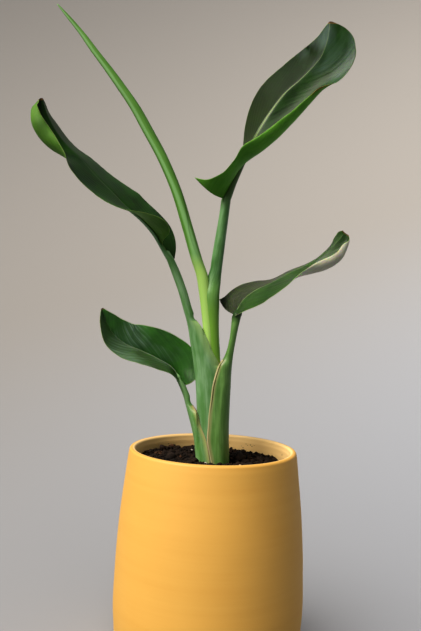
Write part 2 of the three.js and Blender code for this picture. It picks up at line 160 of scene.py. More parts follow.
def grid_faces(rows: int, columns: int, closed: bool = False, start: int = 0) -> Array:
    """Lists the quads of a grid whose points run along each row first.

    Args:
        rows: How many rows of points there are.
        columns: How many points a row has.
        closed: True where each row joins up into a ring.
        start: The index of the first point.

    Returns:
        Four point indexes for each quad.
    """
    span = columns if closed else columns - 1
    i, j = np.meshgrid(np.arange(rows - 1), np.arange(span), indexing="ij")
    here, beside = i * columns + j, i * columns + (j + 1) % columns
    return np.stack([here, beside, beside + columns, here + columns], -1).reshape(-1, 4) + start


def turned(profile: Array, steps: int) -> Array:
    """Turns rows of radius and height round the axis, into one ring for each row.

    Args:
        profile: Rows of radius and height.
        steps: How many points a ring has.

    Returns:
        The points, ring by ring.
    """
    angle = np.linspace(0, TURN, steps, endpoint=False)
    radius, height = profile[:, :1], profile[:, 1:]
    return np.stack([radius * np.cos(angle), radius * np.sin(angle), height + 0 * angle], -1)


def lofted(rings: Array) -> Shape:
    """Closes a stack of rings, anticlockwise seen from the last, into one skin with a fan at each end.

    Args:
        rings: Rings of as many points each.

    Returns:
        The skin's points, with the middles of the two ends last, and its faces.
    """
    count, sides = rings.shape[:2]
    points = np.vstack([rings.reshape(-1, 3), rings[0].mean(0), rings[-1].mean(0)])
    faces = grid_faces(count, sides, closed=True).tolist()
    foot, top = count * sides, (count - 1) * sides
    for k in range(sides):
        following = (k + 1) % sides
        faces += [[following, k, foot], [top + k, top + following, foot + 1]]
    return points, faces


def tube_mesh(path: Array, radii: Array, sides: int) -> Shape:
    """Sweeps a round section, of its own radius at each point, along a path and closes it.

    Args:
        path: Points along its middle.
        radii: Its radius at each of them.
        sides: How many points a ring has.

    Returns:
        Its points and faces.
    """
    along = unit(np.gradient(path, axis=0))
    helper = np.array([0.0, 0.0, 1.0]) if abs(along[0, 2]) < 0.9 else np.array([1.0, 0.0, 0.0])
    first = unit(np.cross(along, helper))
    second = np.cross(along, first)
    angle = np.linspace(0, TURN, sides, endpoint=False)
    aside, up = np.cos(angle) * radii[:, None], np.sin(angle) * radii[:, None]
    return lofted(path[:, None] + first[:, None] * aside[..., None] + second[:, None] * up[..., None])


def broken_ball(detail: int) -> tuple[Array, Array]:
    """Returns the corners and facets of a ball of radius one, which a grain starts from.

    Args:
        detail: How finely the ball is divided.

    Returns:
        The corners, and the three corners of each facet.
    """
    ball = bmesh.new()
    bmesh.ops.create_icosphere(ball, subdivisions=detail, radius=1.0)
    corners = np.array([v.co[:] for v in ball.verts])
    facets = np.array([[v.index for v in f.verts] for f in ball.faces])
    ball.free()
    return corners, facets


def put(name: str, data: bpy.types.ID) -> Piece:
    """Makes an object of its data and links it to the scene.

    Args:
        name: The object's name.
        data: Its mesh, camera or light.

    Returns:
        The new object.
    """
    made = bpy.data.objects.new(name, data)
    bpy.context.scene.collection.objects.link(made)
    return made


def put_mesh(name: str, points: Array, faces: list, materials: Sequence[Material]) -> Piece:
    """Makes a smooth mesh object, with its points in metres and its materials in slot order.

    Args:
        name: The object's name.
        points: Its points in metres.
        faces: The points of each face.
        materials: Its materials, in slot order.

    Returns:
        The new object.
    """
    mesh = bpy.data.meshes.new(name)
    mesh.from_pydata(points.reshape(-1, 3).tolist(), [], faces)
    mesh.polygons.foreach_set("use_smooth", np.ones(len(faces), bool))
    for material in materials:
        mesh.materials.append(material)
    return put(name, mesh)


def make_piece(
    name: str,
    shape: Shape,
    materials: Sequence[Material],
    replaces: str | None = None,
    attributes: dict[str, Array] | None = None,
    wearing: Array | None = None,
) -> Piece:
    """Makes one mesh piece in the frame, dresses it and lets it ride on the plant's body.

    Args:
        name: The piece's name.
        shape: Its points in millimetres, and its faces.
        materials: Its materials, in slot order.
        replaces: The frame's node that it stands for, if any.
        attributes: Vectors to keep at each point, by name.
        wearing: The material index of each face, where there are several.

    Returns:
        The new object.
    """
    points, faces = shape
    piece = put_mesh(name, points * MM, faces, materials)
    mesh = piece.data
    for key, values in (attributes or {}).items():
        layer = mesh.attributes.new(key, "FLOAT_VECTOR", "POINT")
        layer.data.foreach_set("vector", np.asarray(values, np.float32).ravel())
    if wearing is not None:
        mesh.polygons.foreach_set("material_index", wearing.astype(np.int32))
    mesh.update()
    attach(piece, BODY)
    if replaces:
        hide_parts(replaces)
    log.info("%s: %d points, %d faces", name, len(mesh.vertices), len(mesh.polygons))
    return piece


def feed(node: Node, inputs: dict) -> None:
    """Fills a node's inputs.

    Args:
        node: The node.
        inputs: By name or index, a constant, a hex colour, an output socket, or a node for its first output.
    """
    for key, value in inputs.items():
        source = value.outputs[0] if isinstance(value, Node) else value
        if isinstance(source, Socket):
            node.id_data.links.new(source, node.inputs[key])
        else:
            node.inputs[key].default_value = linear(source) if isinstance(source, str) else source


def add_node(tree: Tree, kind: str, inputs: dict | None = None, **settings) -> Node:
    """Adds one shader node with its settings and links.

    Args:
        tree: The material's node tree.
        kind: Blender's name for the node, after ShaderNode.
        inputs: What feed takes.
        **settings: The node's own properties.

    Returns:
        The new node.
    """
    node = tree.nodes.new("ShaderNode" + kind)
    for name, value in settings.items():
        setattr(node, name, value)
    feed(node, inputs or {})
    return node


@dataclass(frozen=True)
class Finish:
    """What every finish shares: gloss, relief, light scattered within, and layers of tone.

    Its own dress method patterns it.
    """

    name: str
    ior: float = 1.45
    roughness: float = 0.5
    specular: float = 0.5
    relief_mm: float = 0.1
    relief_strength: float = 0.5
    scatter_share: float = 0.0
    scatter_mm: float = 1.0
    scatter_tint: tuple[float, float, float] = (1.0, 1.0, 1.0)

    def material(self) -> Material:
        """Builds the material with its constants on the shader and its patterns from nodes.

        Returns:
            The material.
        """
        made = bpy.data.materials.new(self.name)
        made.use_nodes = True
        constants = {
            "IOR": self.ior,
            "Roughness": self.roughness,
            "Specular IOR Level": self.specular,
            "Subsurface Weight": self.scatter_share,
            "Subsurface Radius": self.scatter_tint,
            "Subsurface Scale": self.scatter_mm * MM,
        }
        pattern = self.dress(partial(add_node, made.node_tree))
        feed(made.node_tree.nodes["Principled BSDF"], {**constants, **pattern})
        return made

    def dress(self, add: Adder) -> dict:
        """Adds the pattern's nodes to the tree and returns the shader's inputs; each finish has its own."""
        raise NotImplementedError

    def raised(self, add: Adder, height: Node) -> Node:
        """Raises the surface where a pattern is high, by the finish's own relief."""
        depth = {"Strength": self.relief_strength, "Distance": self.relief_mm * MM}
        return add("Bump", {"Height": height, **depth})

    @staticmethod
    def lay(add: Adder, tone: str | Socket, layers: Sequence[tuple]) -> Socket:
        """Lays colours over a tone.

        Args:
            add: Adds a node to the material's tree.
            tone: What lies below.
            layers: Each colour, the value that brings it, where it starts and is full, and its full share.

        Returns:
            The colour on top.
        """
        for colour, value, start, full, share in layers:
            limits = {"From Min": start, "From Max": full, "To Max": share}
            shown = add("MapRange", {"Value": value, **limits})
            tone = add("Mix", {0: shown, 6: tone, 7: colour}, data_type="RGBA").outputs[2]
        return tone


@dataclass(frozen=True)
class MatteGlaze(Finish):
    """Slip-cast earthenware under a matte mustard glaze: a soft broad light on it and no mirror image."""

    name: str = "matte_mustard_glaze_on_earthenware"
    ior: float = 1.5
    roughness: float = 0.62
    specular: float = 0.55
    colour: str = "#d8a850"
    thin_colour: str = "#d29f47"
    # The paler tone inside the rim is painted light on the inner wall
    inner_painted_light: str = "#efca88"
    inner_radius_mm: float = 75.0
    inner_fade_mm: float = 1.5
    band_mm: float = 5.0
    band_run_mm: float = 166.67
    cloud_mm: float = 55.56
    thin_share: float = 0.6
    # The real grain is a fraction of a millimetre, too fine to show, so it is drawn coarser
    grain_mm: float = 0.9
    relief_mm: float = 0.12
    relief_strength: float = 0.2
    band_relief: float = 0.4
    gloss_spread: float = 0.08

    def dress(self, add: Adder) -> dict:
        """Faint level bands where the glaze ran thinner, clouds, an eggshell grain, and a paler inside that
        is painted light on the inner wall.

        Args:
            add: Adds a node to the material's tree.

        Returns:
            The shader's inputs, by name.
        """
        place = add("TexCoord").outputs["Object"]
        run = MM_PER_M / self.band_run_mm
        stretched = add("Mapping", {"Vector": place, "Scale": (run, run, MM_PER_M / self.band_mm)})
        bands = add("TexNoise", {"Vector": stretched, "Scale": 1.0, "Detail": 2.0})
        clouds = add("TexNoise", {"Vector": place, "Scale": MM_PER_M / self.cloud_mm, "Detail": 3.0})
        grain = add("TexNoise", {"Vector": place, "Scale": MM_PER_M / self.grain_mm, "Detail": 2.0})
        thin = add("Math", {0: bands, 1: clouds}, operation="MULTIPLY")
        level = add("Mapping", {"Vector": place, "Scale": (MM_PER_M, MM_PER_M, 0)})
        radius = add("VectorMath", {0: level}, operation="LENGTH").outputs["Value"]
        inside = self.inner_radius_mm - self.inner_fade_mm
        layers = (
            (self.thin_colour, thin, 0.12, 0.42, self.thin_share),
            # Painted light: a paler tone on the inner wall
            (self.inner_painted_light, radius, self.inner_radius_mm, inside, 1),
        )
        low, high = self.roughness - self.gloss_spread, self.roughness + self.gloss_spread
        height = add("Math", {0: bands, 1: self.band_relief, 2: grain}, operation="MULTIPLY_ADD")
        return {
            "Base Color": self.lay(add, self.colour, layers),
            "Roughness": add("MapRange", {"Value": clouds, "To Min": low, "To Max": high}),
            "Normal": self.raised(add, height),
        }


@dataclass(frozen=True)
class Crumb(Finish):
    """Loose organic matter, such as peat, bark or dry root: dull, broken light on a rough grain."""

    name: str = "moist_peat"
    roughness: float = 0.9
    specular: float = 0.25
    dark: str = "#110d0a"
    light: str = "#302319"
    grain_mm: float = 1.2
    patch_grains: float = 6.0
    relief_mm: float = 0.5
    relief_strength: float = 0.8

    def dress(self, add: Adder) -> dict:
        """Two tones in grains of the stated size, with the grain raised.

        Args:
            add: Adds a node to the material's tree.

        Returns:
            The shader's inputs, by name.
        """
        place = add("TexCoord").outputs["Object"]
        scale = MM_PER_M / self.grain_mm
        grain = add("TexNoise", {"Vector": place, "Scale": scale, "Detail": 4.0})
        patch = add("TexNoise", {"Vector": place, "Scale": scale / self.patch_grains, "Detail": 2.0})
        mixed = add("Math", {0: grain, 1: patch}, operation="MULTIPLY")
        tone = self.lay(add, self.dark, [(self.light, mixed, 0.14, 0.42, 1)])
        return {"Base Color": tone, "Normal": self.raised(add, grain)}


@dataclass(frozen=True)
class StalkSkin(Finish):
    """Living stalk with a waxy bloom: a soft satin light, fine lengthwise fibres, a papery sheath edge."""

    name: str = "waxy_green_stalk"
    ior: float = 1.42
    roughness: float = 0.4
    roughness_dip: float = 0.08
    roughness_rise: float = 0.12
    specular: float = 0.4
    relief_mm: float = 0.25
    relief_strength: float = 0.35
    scatter_share: float = 0.12
    scatter_mm: float = 1.2
    scatter_tint: tuple[float, float, float] = (0.8, 1.0, 0.3)
    flesh: str = "#588644"
    bloom: str = "#80a673"
    bloom_share: float = 0.8
    shade: str = "#37612a"
    shade_share: float = 0.4
    hem: str = "#cfc39c"
    hem_mm: float = 0.45
    hem_soft_mm: float = 0.25
    crease: str = "#3c3512"
    crease_mm: float = -9.0
    crease_half_mm: float = 0.4
    crease_from_mm: float = 212.0
    crease_fade_mm: float = 16.0
    crease_least: float = 0.15
    drying: str = "#8a8a4c"
    drying_mm: float = 3.0
    drying_share: float = 0.6
    drying_core: float = 0.35
    ragged_mm: float = 1.2
    young: str = "#6f9c34"
    young_share: float = 0.92
    young_top_mm: float = 0.0
    young_fade_mm: float = 30.0
    # A darker top: the stalk's own olive where it turns into the rib, and on one stalk painted shadow under
    # its blade
    olive_and_shade: str = "#38531f"
    olive_and_shade_from_mm: float = 900.0
    olive_and_shade_fade_mm: float = 16.0
    # The real fibres lie closer together than shows, so they are drawn coarser
    fibre_mm: float = 1.1
    fibre_run_mm: float = 50.0
    patch_mm: float = 6.25
    patch_run_mm: float = 28.57

    def dress(self, add: Adder) -> dict:
        """Fibre streaks, bloom, a younger green low down, a drying band with a pale hem and a darker top.

        On one stalk the darker top is painted shadow under its blade; on the spear the hem draws a paler
        stripe, partly a painted highlight.

        Args:
            add: Adds a node to the material's tree.

        Returns:
            The shader's inputs, by name.
        """
        place = add("Attribute", attribute_name=STALK_PLACE).outputs["Vector"]
        height, margin = add("SeparateXYZ", {0: place}).outputs[1:]
        fine = (1 / self.fibre_mm, 1 / self.fibre_run_mm, 0.0)
        fibre_fit = add("Mapping", {"Vector": place, "Scale": fine})
        fibres = add("TexNoise", {"Vector": fibre_fit, "Scale": 1.0, "Detail": 2.0})
        broad = (1 / self.patch_mm, 1 / self.patch_run_mm, 0.0)
        patch_fit = add("Mapping", {"Vector": place, "Scale": broad})
        patches = add("TexNoise", {"Vector": patch_fit, "Scale": 1.0, "Detail": 3.0})
        # The patches also make the bands along the margin ragged
        ragged = add("Math", {0: patches, 1: self.ragged_mm, 2: margin}, operation="MULTIPLY_ADD")
        inward = add("Math", {0: ragged, 1: self.ragged_mm / 2}, operation="SUBTRACT")
        line = {0: inward, 1: self.crease_mm, 2: self.crease_half_mm}
        in_crease = add("Math", line, operation="COMPARE")
        full_mm = self.crease_from_mm + self.crease_fade_mm
        stretch = {"From Min": self.crease_from_mm, "From Max": full_mm, "To Min": self.crease_least}
        deeper = add("MapRange", {"Value": height, **stretch})
        creased = add("Math", {0: in_crease, 1: deeper}, operation="MULTIPLY")
        core_mm, half_fade = self.drying_mm * self.drying_core, self.young_fade_mm / 2
        green_to, green_from = self.young_top_mm + half_fade, self.young_top_mm - half_fade
        layers = (
            (self.bloom, patches, 0.36, 0.62, self.bloom_share),
            (self.shade, fibres, 0.5, 0.72, self.shade_share),
            (self.drying, inward, self.drying_mm, core_mm, self.drying_share),
            (self.hem, inward, self.hem_mm + self.hem_soft_mm, self.hem_mm - self.hem_soft_mm, 1),
            (self.crease, creased, 0, 1, 1),
            (self.young, height, green_to, green_from, self.young_share),
            # Darker top: own olive, and painted shadow under a blade on one stalk
            (self.olive_and_shade, height, self.olive_and_shade_from_mm, self.olive_and_shade_from_mm + self.olive_and_shade_fade_mm, 1),
        )
        low, high = self.roughness - self.roughness_dip, self.roughness + self.roughness_rise
        return {
            "Base Color": self.lay(add, self.flesh, layers),
            "Roughness": add("MapRange", {"Value": patches, "To Min": low, "To Max": high}),
            "Normal": self.raised(add, fibres),
        }


@dataclass(frozen=True)
class BladeSkin(Finish):
    """Leaf blade under a waxy cuticle: glossy and dark above, paler and duller below, aglow in light."""

    name: str = "glossy_leaf_blade"
    roughness: float = 0.34
    under_roughness_rise: float = 0.2
    cloud_roughness: float = 0.16
    specular: float = 0.26
    relief_mm: float = 0.3
    relief_strength: float = 0.45
    scatter_share: float = 0.7
    scatter_mm: float = 0.5
    scatter_tint: tuple[float, float, float] = (0.45, 1.0, 0.15)
    upper: str = "#33621f"
    upper_deep: str = "#20451a"
    # Painted sheen: a waxy mottle, and where its colour is pale a painted highlight
    sheen: str = "#3a4433"
    sheen_share: float = 0.5
    sheen_at_mm: tuple[float, float] = (100.0, 300.0)
    sheen_between: float = 0.12
    sheen_fade_mm: float = 14.0
    # Left half: a grey painted reflection, then further along a painted shade
    far: str = "#3d4030"
    far_top_painted_light: str = "#2b4620"
    far_painted_share: float = 0.0
    far_end_mm: float = 90.0
    far_fade_mm: float = 40.0
    under: str = "#5c8a38"
    under_deep: str = "#46742a"
    rib: str = "#8fae60"
    rib_mm: float = 0.8
    edge: str = "#97a66a"
    edge_share: float = 0.4
    edge_mm: tuple[float, float] = (0.6, 0.25)
    dry: str = "#6b5228"
    burnt: str = "#2e1a10"
    # The real veins lie about a millimetre apart, too close to show, so they are drawn coarser
    vein_mm: float = 1.7
    vein_run_mm: float = 33.33
    vein_mottle: float = 0.35
    # How many cells of the noise one vein takes
    vein_cells: float = 0.43
    vein_slope: float = 2.1
    cloud_mm: float = 22.22
    streak_mm: float = 20.0
    streak_run_mm: float = 50.0

    def dress(self, add: Adder) -> dict:
        """Slanting veins, a pale rib, a pale thin margin and dry marks, on each side's own green.

        Over them lie painted sheen streaks, and a painted reflection and shade on the left half.

        Args:
            add: Adds a node to the material's tree.

        Returns:
            The shader's inputs, by name.
        """
        place = add("Attribute", attribute_name=LEAF_PLACE).outputs["Vector"]
        across, along, side = add("SeparateXYZ", {0: place}).outputs
        marks = add("Attribute", attribute_name=LEAF_MARKS).outputs["Vector"]
        from_edge, rib_share, dryness = add("SeparateXYZ", {0: marks}).outputs
        away = add("Math", {0: across}, operation="ABSOLUTE")
        # A vein leaves the rib at a slant, so its distance along grows with the distance from the rib
        phase = add("Math", {0: away, 1: -self.vein_slope, 2: along}, operation="MULTIPLY_ADD")
        vein_place = add("CombineXYZ", {0: phase, 1: across, 2: side})
        fine = (self.vein_cells / self.vein_mm, 1 / self.vein_run_mm, 0.0)
        vein_fit = add("Mapping", {"Vector": vein_place, "Scale": fine})
        veins = add("TexNoise", {"Vector": vein_fit, "Scale": 1.0, "Detail": 2.5})
        clouds = add("TexNoise", {"Vector": place, "Scale": 1 / self.cloud_mm, "Detail": 3.0})
        broad = (1 / self.streak_mm, 1 / self.streak_run_mm, 1.0)
        sheen_fit = add("Mapping", {"Vector": place, "Scale": broad})
        sheen = add("TexNoise", {"Vector": sheen_fit, "Scale": 1.0, "Detail": 2.0})
        vein_share = add("MapRange", {"Value": veins, "From Min": 0.35, "From Max": 0.68})
        cloud_share = add("MapRange", {"Value": clouds, "From Min": 0.35, "From Max": 0.65})
        mottle = {0: vein_share, 1: self.vein_mottle, 2: cloud_share}
        pattern = add("Math", mottle, operation="MULTIPLY_ADD", use_clamp=True)
        # Painted sheen in streaks between the veins, within a stretch of the blade:
        # partly a waxy mottle, and where pale a painted highlight
        middle, reach = self.sheen_at_mm
        off = add("Math", {0: along, 1: middle}, operation="SUBTRACT")
        from_middle = add("Math", {0: off}, operation="ABSOLUTE")
        streaked = self.sheen_share
        for value, start, full, least, most in (
            (sheen, 0.42, 0.62, 0, 1),
            (veins, 0.47, 0.62, self.sheen_between, 1.2 - 0.4 * self.sheen_between),
            (from_middle, reach, reach - self.sheen_fade_mm, 0, 1),
        ):
            limits = {"From Min": start, "From Max": full, "To Min": least, "To Max": most}
            share = add("MapRange", {"Value": value, **limits})
            streaked = add("Math", {0: streaked, 1: share}, operation="MULTIPLY")
        # Painted reflection on the left half, turning further along into painted shade
        full_mm = self.far_end_mm - self.far_fade_mm
        far = self.lay(add, self.far_top_painted_light, [(self.far, along, self.far_end_mm, full_mm, 1)])
        above = (
            (self.upper, pattern, 0, 1, 1),
            (far, across, 0.4, -0.8, self.far_painted_share),
            (self.sheen, streaked, 0, 1, 1),
        )
        rib_width = add("Math", {0: rib_share, 1: self.rib_mm}, operation="MULTIPLY")
        thinning = {"From Min": 0.44, "From Max": 0.64, "To Min": 0.22, "To Max": 0.9}
        rib_strength = add("MapRange", {"Value": rib_share, **thinning})
        layers = (
            (self.lay(add, self.upper_deep, above), side, 0, 1, 1),
            (self.rib, away, rib_width, 0.05, rib_strength),
            (self.edge, from_edge, *self.edge_mm, self.edge_share),
            (self.dry, dryness, 0.15, 0.5, 1),
            (self.burnt, dryness, 0.6, 0.85, 1),
        )
        below = self.lay(add, self.under_deep, [(self.under, pattern, 0, 1, 1)])
        duller = self.roughness + self.under_roughness_rise
        dull = add("MapRange", {"Value": side, "To Min": duller, "To Max": self.roughness})
        clouded = {0: clouds, 1: self.cloud_roughness, 2: dull}
        return {
            "Base Color": self.lay(add, below, layers),
            "Roughness": add("Math", clouded, operation="MULTIPLY_ADD"),
            "Normal": self.raised(add, veins),
        }


@dataclass(frozen=True)
class StudioPaper(Finish):
    """Seamless background paper: flat, pale and without shine."""

    name: str = "seamless_pale_paper"
    roughness: float = 0.95
    specular: float = 0.1
    low_colour: str = "#999ea6"
    high_colour: str = "#93918e"
    cool_from_m: float = -0.35
    cool_top_m: float = 0.55
    aside_share: float = -0.35

    def dress(self, add: Adder) -> dict:
        """Painted light: a slightly cooler, paler tone on the floor that turns warmer and darker up the wall
        and to the left.

        Args:
            add: Adds a node to the material's tree.

        Returns:
            The shader's inputs, by name.
        """
        place = add("TexCoord").outputs["Object"]
        x, _, z = add("SeparateXYZ", {0: place}).outputs
        # Painted light: a falloff, warmer and darker up the wall and to the left
        aside_and_up = add("Math", {0: x, 1: self.aside_share, 2: z}, operation="MULTIPLY_ADD")
        limits = {"Value": aside_and_up, "From Min": self.cool_from_m, "From Max": self.cool_top_m}
        painted_falloff = add("MapRange", limits, interpolation_type="SMOOTHSTEP")
        return {"Base Color": self.lay(add, self.low_colour, [(self.high_colour, painted_falloff, 0, 1, 1)])}


@dataclass
class Camera:
    """The viewpoint: level with the middle of the plant and rolled by two degrees."""

    place: tuple[float, float, float] = (-6.6, -657.0, 309.0)
    down_degrees: float = 0.5
    roll_degrees: float = 2.0
    focal_px: float = 705.0
    image_height_px: float = 631.0
    sensor_mm: float = 36.0
    clip_m: tuple[float, float] = (0.01, 50.0)

    def build(self) -> Piece:
        """Makes the camera and gives it to the scene.

        Returns:
            The camera.
        """
        data = bpy.data.cameras.new("camera")
        data.sensor_fit = "VERTICAL"
        data.sensor_height = self.sensor_mm
        data.sensor_width = self.sensor_mm
        data.lens = self.focal_px / self.image_height_px * self.sensor_mm
        data.clip_start, data.clip_end = self.clip_m
        tilt = Matrix.Rotation(math.radians(90 - self.down_degrees), 4, "X")
        turn = tilt @ Matrix.Rotation(math.radians(self.roll_degrees), 4, "Z")
        camera = put("camera", data)
        camera.matrix_world = Matrix.Translation(Vector(self.place) * MM) @ turn
        bpy.context.scene.camera = camera
        return camera


class Reach(Enum):
    """What a lamp lights: the paper alone, or all but the paper."""

    PAPER = "INCLUDE"
    PLANT = "EXCLUDE"


@dataclass(frozen=True)
class Lamp:
    """One wide soft light at the front left."""

    name: str
    reach: Reach
    strength: float
    width_degrees: float
    up_degrees: float
    left_degrees: float = 52.0
    tint: str = "#fff6ec"

    def hang(self, floor: Piece) -> None:
        """Hangs the lamp and links it to what it reaches.

        Args:
            floor: The paper.
        """
        data = bpy.data.lights.new(self.name, "SUN")
        data.energy = self.strength
        data.angle = math.radians(self.width_degrees)
        data.color = linear(self.tint)[:3]
        aside, up = math.radians(self.left_degrees), math.radians(self.up_degrees)
        source = Vector((-math.sin(aside) * math.cos(up), -math.cos(aside) * math.cos(up), math.sin(up)))
        lamp = put(self.name, data)
        lamp.matrix_world = (-source).to_track_quat("-Z", "Y").to_matrix().to_4x4()
        lit = bpy.data.collections.new(self.name + "_reaches")
        lit.objects.link(floor)
        lit.collection_objects[0].light_linking.link_state = self.reach.value
        lamp.light_linking.receiver_collection = lit


@dataclass
class Studio:
    """A round sweep of pale paper, a soft key light at the front left, one for the paper, and a sky."""

    middle_m: float = 0.02
    flat_m: float = 0.3
    radius_m: float = 3.4
    height_m: float = 2.3
    steps: int = 96
    bend_steps: int = 40
    lamps: Sequence[Lamp] = (
        Lamp("key_light", Reach.PLANT, strength=5.2, width_degrees=36.0, up_degrees=46.0),
        Lamp("paper_light", Reach.PAPER, strength=5.3, width_degrees=90.0, up_degrees=50.0),
    )
    sky_strength: float = 0.32
    sky: str = "#e4e4e6"

    def sweep(self) -> Piece:
        """Builds floor, bend and wall as one smooth sheet round the object.

        Returns:
            The paper.
        """
        turn = np.linspace(0, math.pi / 2, self.bend_steps)
        out = self.flat_m + (self.radius_m - self.flat_m) * np.sin(turn)
        bend = np.stack([out, self.height_m * (1 - np.cos(turn))], -1)
        rings = turned(np.vstack([[self.middle_m, 0.0], bend]), self.steps)
        faces = grid_faces(len(rings), self.steps, closed=True).tolist() + [list(range(self.steps))]
        floor = put_mesh("floor", rings, faces, [StudioPaper().material()])
        floor.visible_diffuse = False
        return floor

    def build(self) -> None:
        """Sets up the paper, the lamps, the sky and a plain rendering of tones."""
        floor = self.sweep()
        for lamp in self.lamps:
            lamp.hang(floor)
        scene = bpy.context.scene
        scene.world = bpy.data.worlds.new("sky")
        scene.world.use_nodes = True
        backdrop = scene.world.node_tree.nodes["Background"]
        feed(backdrop, {"Color": self.sky, "Strength": self.sky_strength})
        scene.view_settings.view_transform = "Standard"
        scene.view_settings.look = "Medium High Contrast"


@dataclass
class Pot:
    """The slip-cast pot: a rounded foot, a side that leans in, and a rounded lip over a shallow cove."""

    height: float = 180.0
    rim_radius: float = 77.5
    foot_round: float = 15.0
    wall: float = 7.0
    lip_width: float = 5.7
    lip_depth: float = 6.0
    lip_round: float = 2.4
    floor: float = 8.0
    bowl_round: float = 11.0
    bowl_inset: float = 2.0
    bowl_top: float = 36.0
    lip_edge: float = 0.8
    cove_mm: float = 0.9
    cove_below_lip: float = 1.6
    cove_half: float = 1.5
    uneven_mm: float = 0.12
    uneven_pitch_mm: float = 60.0
    uneven_seed: float = 3.1
    uneven_from: tuple[float, float] = (1.0, 20.0)
    side: Rows = ((15, 86.6), (36, 88), (60, 87.6), (90, 86.4), (118, 84.4), (145, 81.6), (163, 79.5))
    steps: int = 256
    side_steps: int = 60
    foot_steps: int = 12
    lip_steps: int = 8

    def outer_radius(self, z: Array) -> Array:
        """Returns the outside radius at each height."""
        return smooth([*self.side, (self.height, self.rim_radius)], z)

    def inner_radius(self, z: Array) -> Array:
        """Returns the inside radius at each height, with the cove under the lip.

        Args:
            z: The heights.

        Returns:
            The radius at each of them.
        """
        cove_z = self.height - self.lip_depth - self.cove_below_lip
        cove = self.cove_mm * np.exp(-(((z - cove_z) / self.cove_half) ** 2))
        return self.outer_radius(z) - self.wall + cove

    def inner_at(self, z: float) -> float:
        """Returns the inside radius at one height."""
        return self.inner_radius(np.array([z]))[0]

    @staticmethod
    def arc(centre: tuple[float, float], radius: float, start: float, end: float, steps: int) -> Array:
        """Returns points of radius and height along an arc, with its angles in degrees."""
        angle = np.radians(np.linspace(start, end, steps + 1))
        return np.stack([centre[0] + radius * np.cos(angle), centre[1] + radius * np.sin(angle)], -1)

    def bowl(self, gap: float, steps: int) -> Array:
        """Returns the round from the inside wall down to the floor, drawn in by a gap."""
        centre = self.side[0][1] - self.foot_round - self.wall + self.bowl_inset
        return self.arc((centre, self.floor + self.bowl_round), self.bowl_round - gap, 0, -90, steps)

    def profile(self) -> Array:
        """Returns radius and height from the middle of the base, over the lip, to the floor's middle.

        Returns:
            Rows of radius and height.
        """
        foot = self.side[0][1] - self.foot_round
        lip_inner, lip_outer = self.rim_radius - self.lip_width, self.rim_radius - self.lip_round
        lip_top, lip_foot = self.height - self.lip_round, self.height - self.lip_depth
        side_z = np.linspace(self.foot_round, lip_top, self.side_steps)[1:-1]
        inner_z = np.linspace(lip_foot, self.bowl_top, self.side_steps)
        bowl = self.bowl(0, self.lip_steps)
        parts = (
            np.stack([np.linspace(0, foot, 6), np.zeros(6)], -1)[:-1],
            self.arc((foot, self.foot_round), self.foot_round, -90, 0, self.foot_steps),
            np.stack([self.outer_radius(side_z), side_z], -1),
            self.arc((lip_outer, lip_top), self.lip_round, 0, 90, self.lip_steps),
            self.arc((lip_inner + self.lip_round, lip_top), self.lip_round, 90, 180, self.lip_steps),
            [[lip_inner, lip_foot + self.lip_edge]],
            np.stack([self.inner_radius(inner_z), inner_z], -1),
            bowl,
            [[bowl[-1, 0] / 2, self.floor], [0, self.floor]],
        )
        return np.vstack(parts)

    def build(self, material: Material) -> Piece:
        """Turns the profile round the axis, with a hand-finished unevenness of a tenth of a millimetre.

        Args:
            material: The glaze.

        Returns:
            The shell.
        """
        profile = self.profile()
        rings = turned(profile[1:-1], self.steps)
        raised = ease(profile[1:-1, 1], *self.uneven_from)[:, None]
        wavy = ripple(rings * [1, 1, 2.5], self.uneven_pitch_mm, self.uneven_seed, 2)
        drift = self.uneven_mm * wavy * raised
        points, faces = lofted(rings + unit(rings * [1, 1, 0]) * drift[..., None])
        points[-2:] = [[0, 0, profile[0, 1]], [0, 0, profile[-1, 1]]]
        return make_piece("pot_shell", (points, faces), [material], "pot")


def soil_height(x: Array, y: Array) -> Array:
    """Returns the settled level of the potting mix, mounded at the stalks and higher at the back left.

    Args:
        x: How far right each place is.
        y: How far back it is.

    Returns:
        The height at each place.
    """
    mound = 2.4 * np.exp(-((np.hypot(x, y) / 26) ** 2))
    lean = -0.03 * x + 0.02 * y
    bumps = 1.1 * np.sin(x * 0.21 + 1) * np.cos(y * 0.17) + 0.8 * np.sin(y * 0.33 + x * 0.12)
    return SOIL_LEVEL + mound + lean + bumps


@dataclass(frozen=True)
class Grains:
    """One kind of grain: its count, a usual one's half sizes, its own seed and how finely it is faceted.

    Spread is the sigma of the logarithm of its sizes, and sunk the share of its height below the bed.
    """

    name: str
    count: int
    half_sizes: tuple[float, float, float]
    seed: int
    detail: int = 2
    spread: float = 0.35
    sunk: float = 0.2


# Crumbs on the inside wall: angle from +X in degrees, height and half size
SPECKS = (
    (61.5, 172.6, 0.5), (60.0, 171.4, 0.35), (57.5, 172.2, 0.6), (56.0, 171.0, 0.4), (54.0, 172.5, 0.45),
    (65.5, 170.0, 0.35), (64.0, 168.6, 0.5), (128.0, 171.5, 0.4), (131.0, 169.4, 0.5), (20.0, 170.5, 0.4),
    (-28.0, 171.0, 0.45),
)


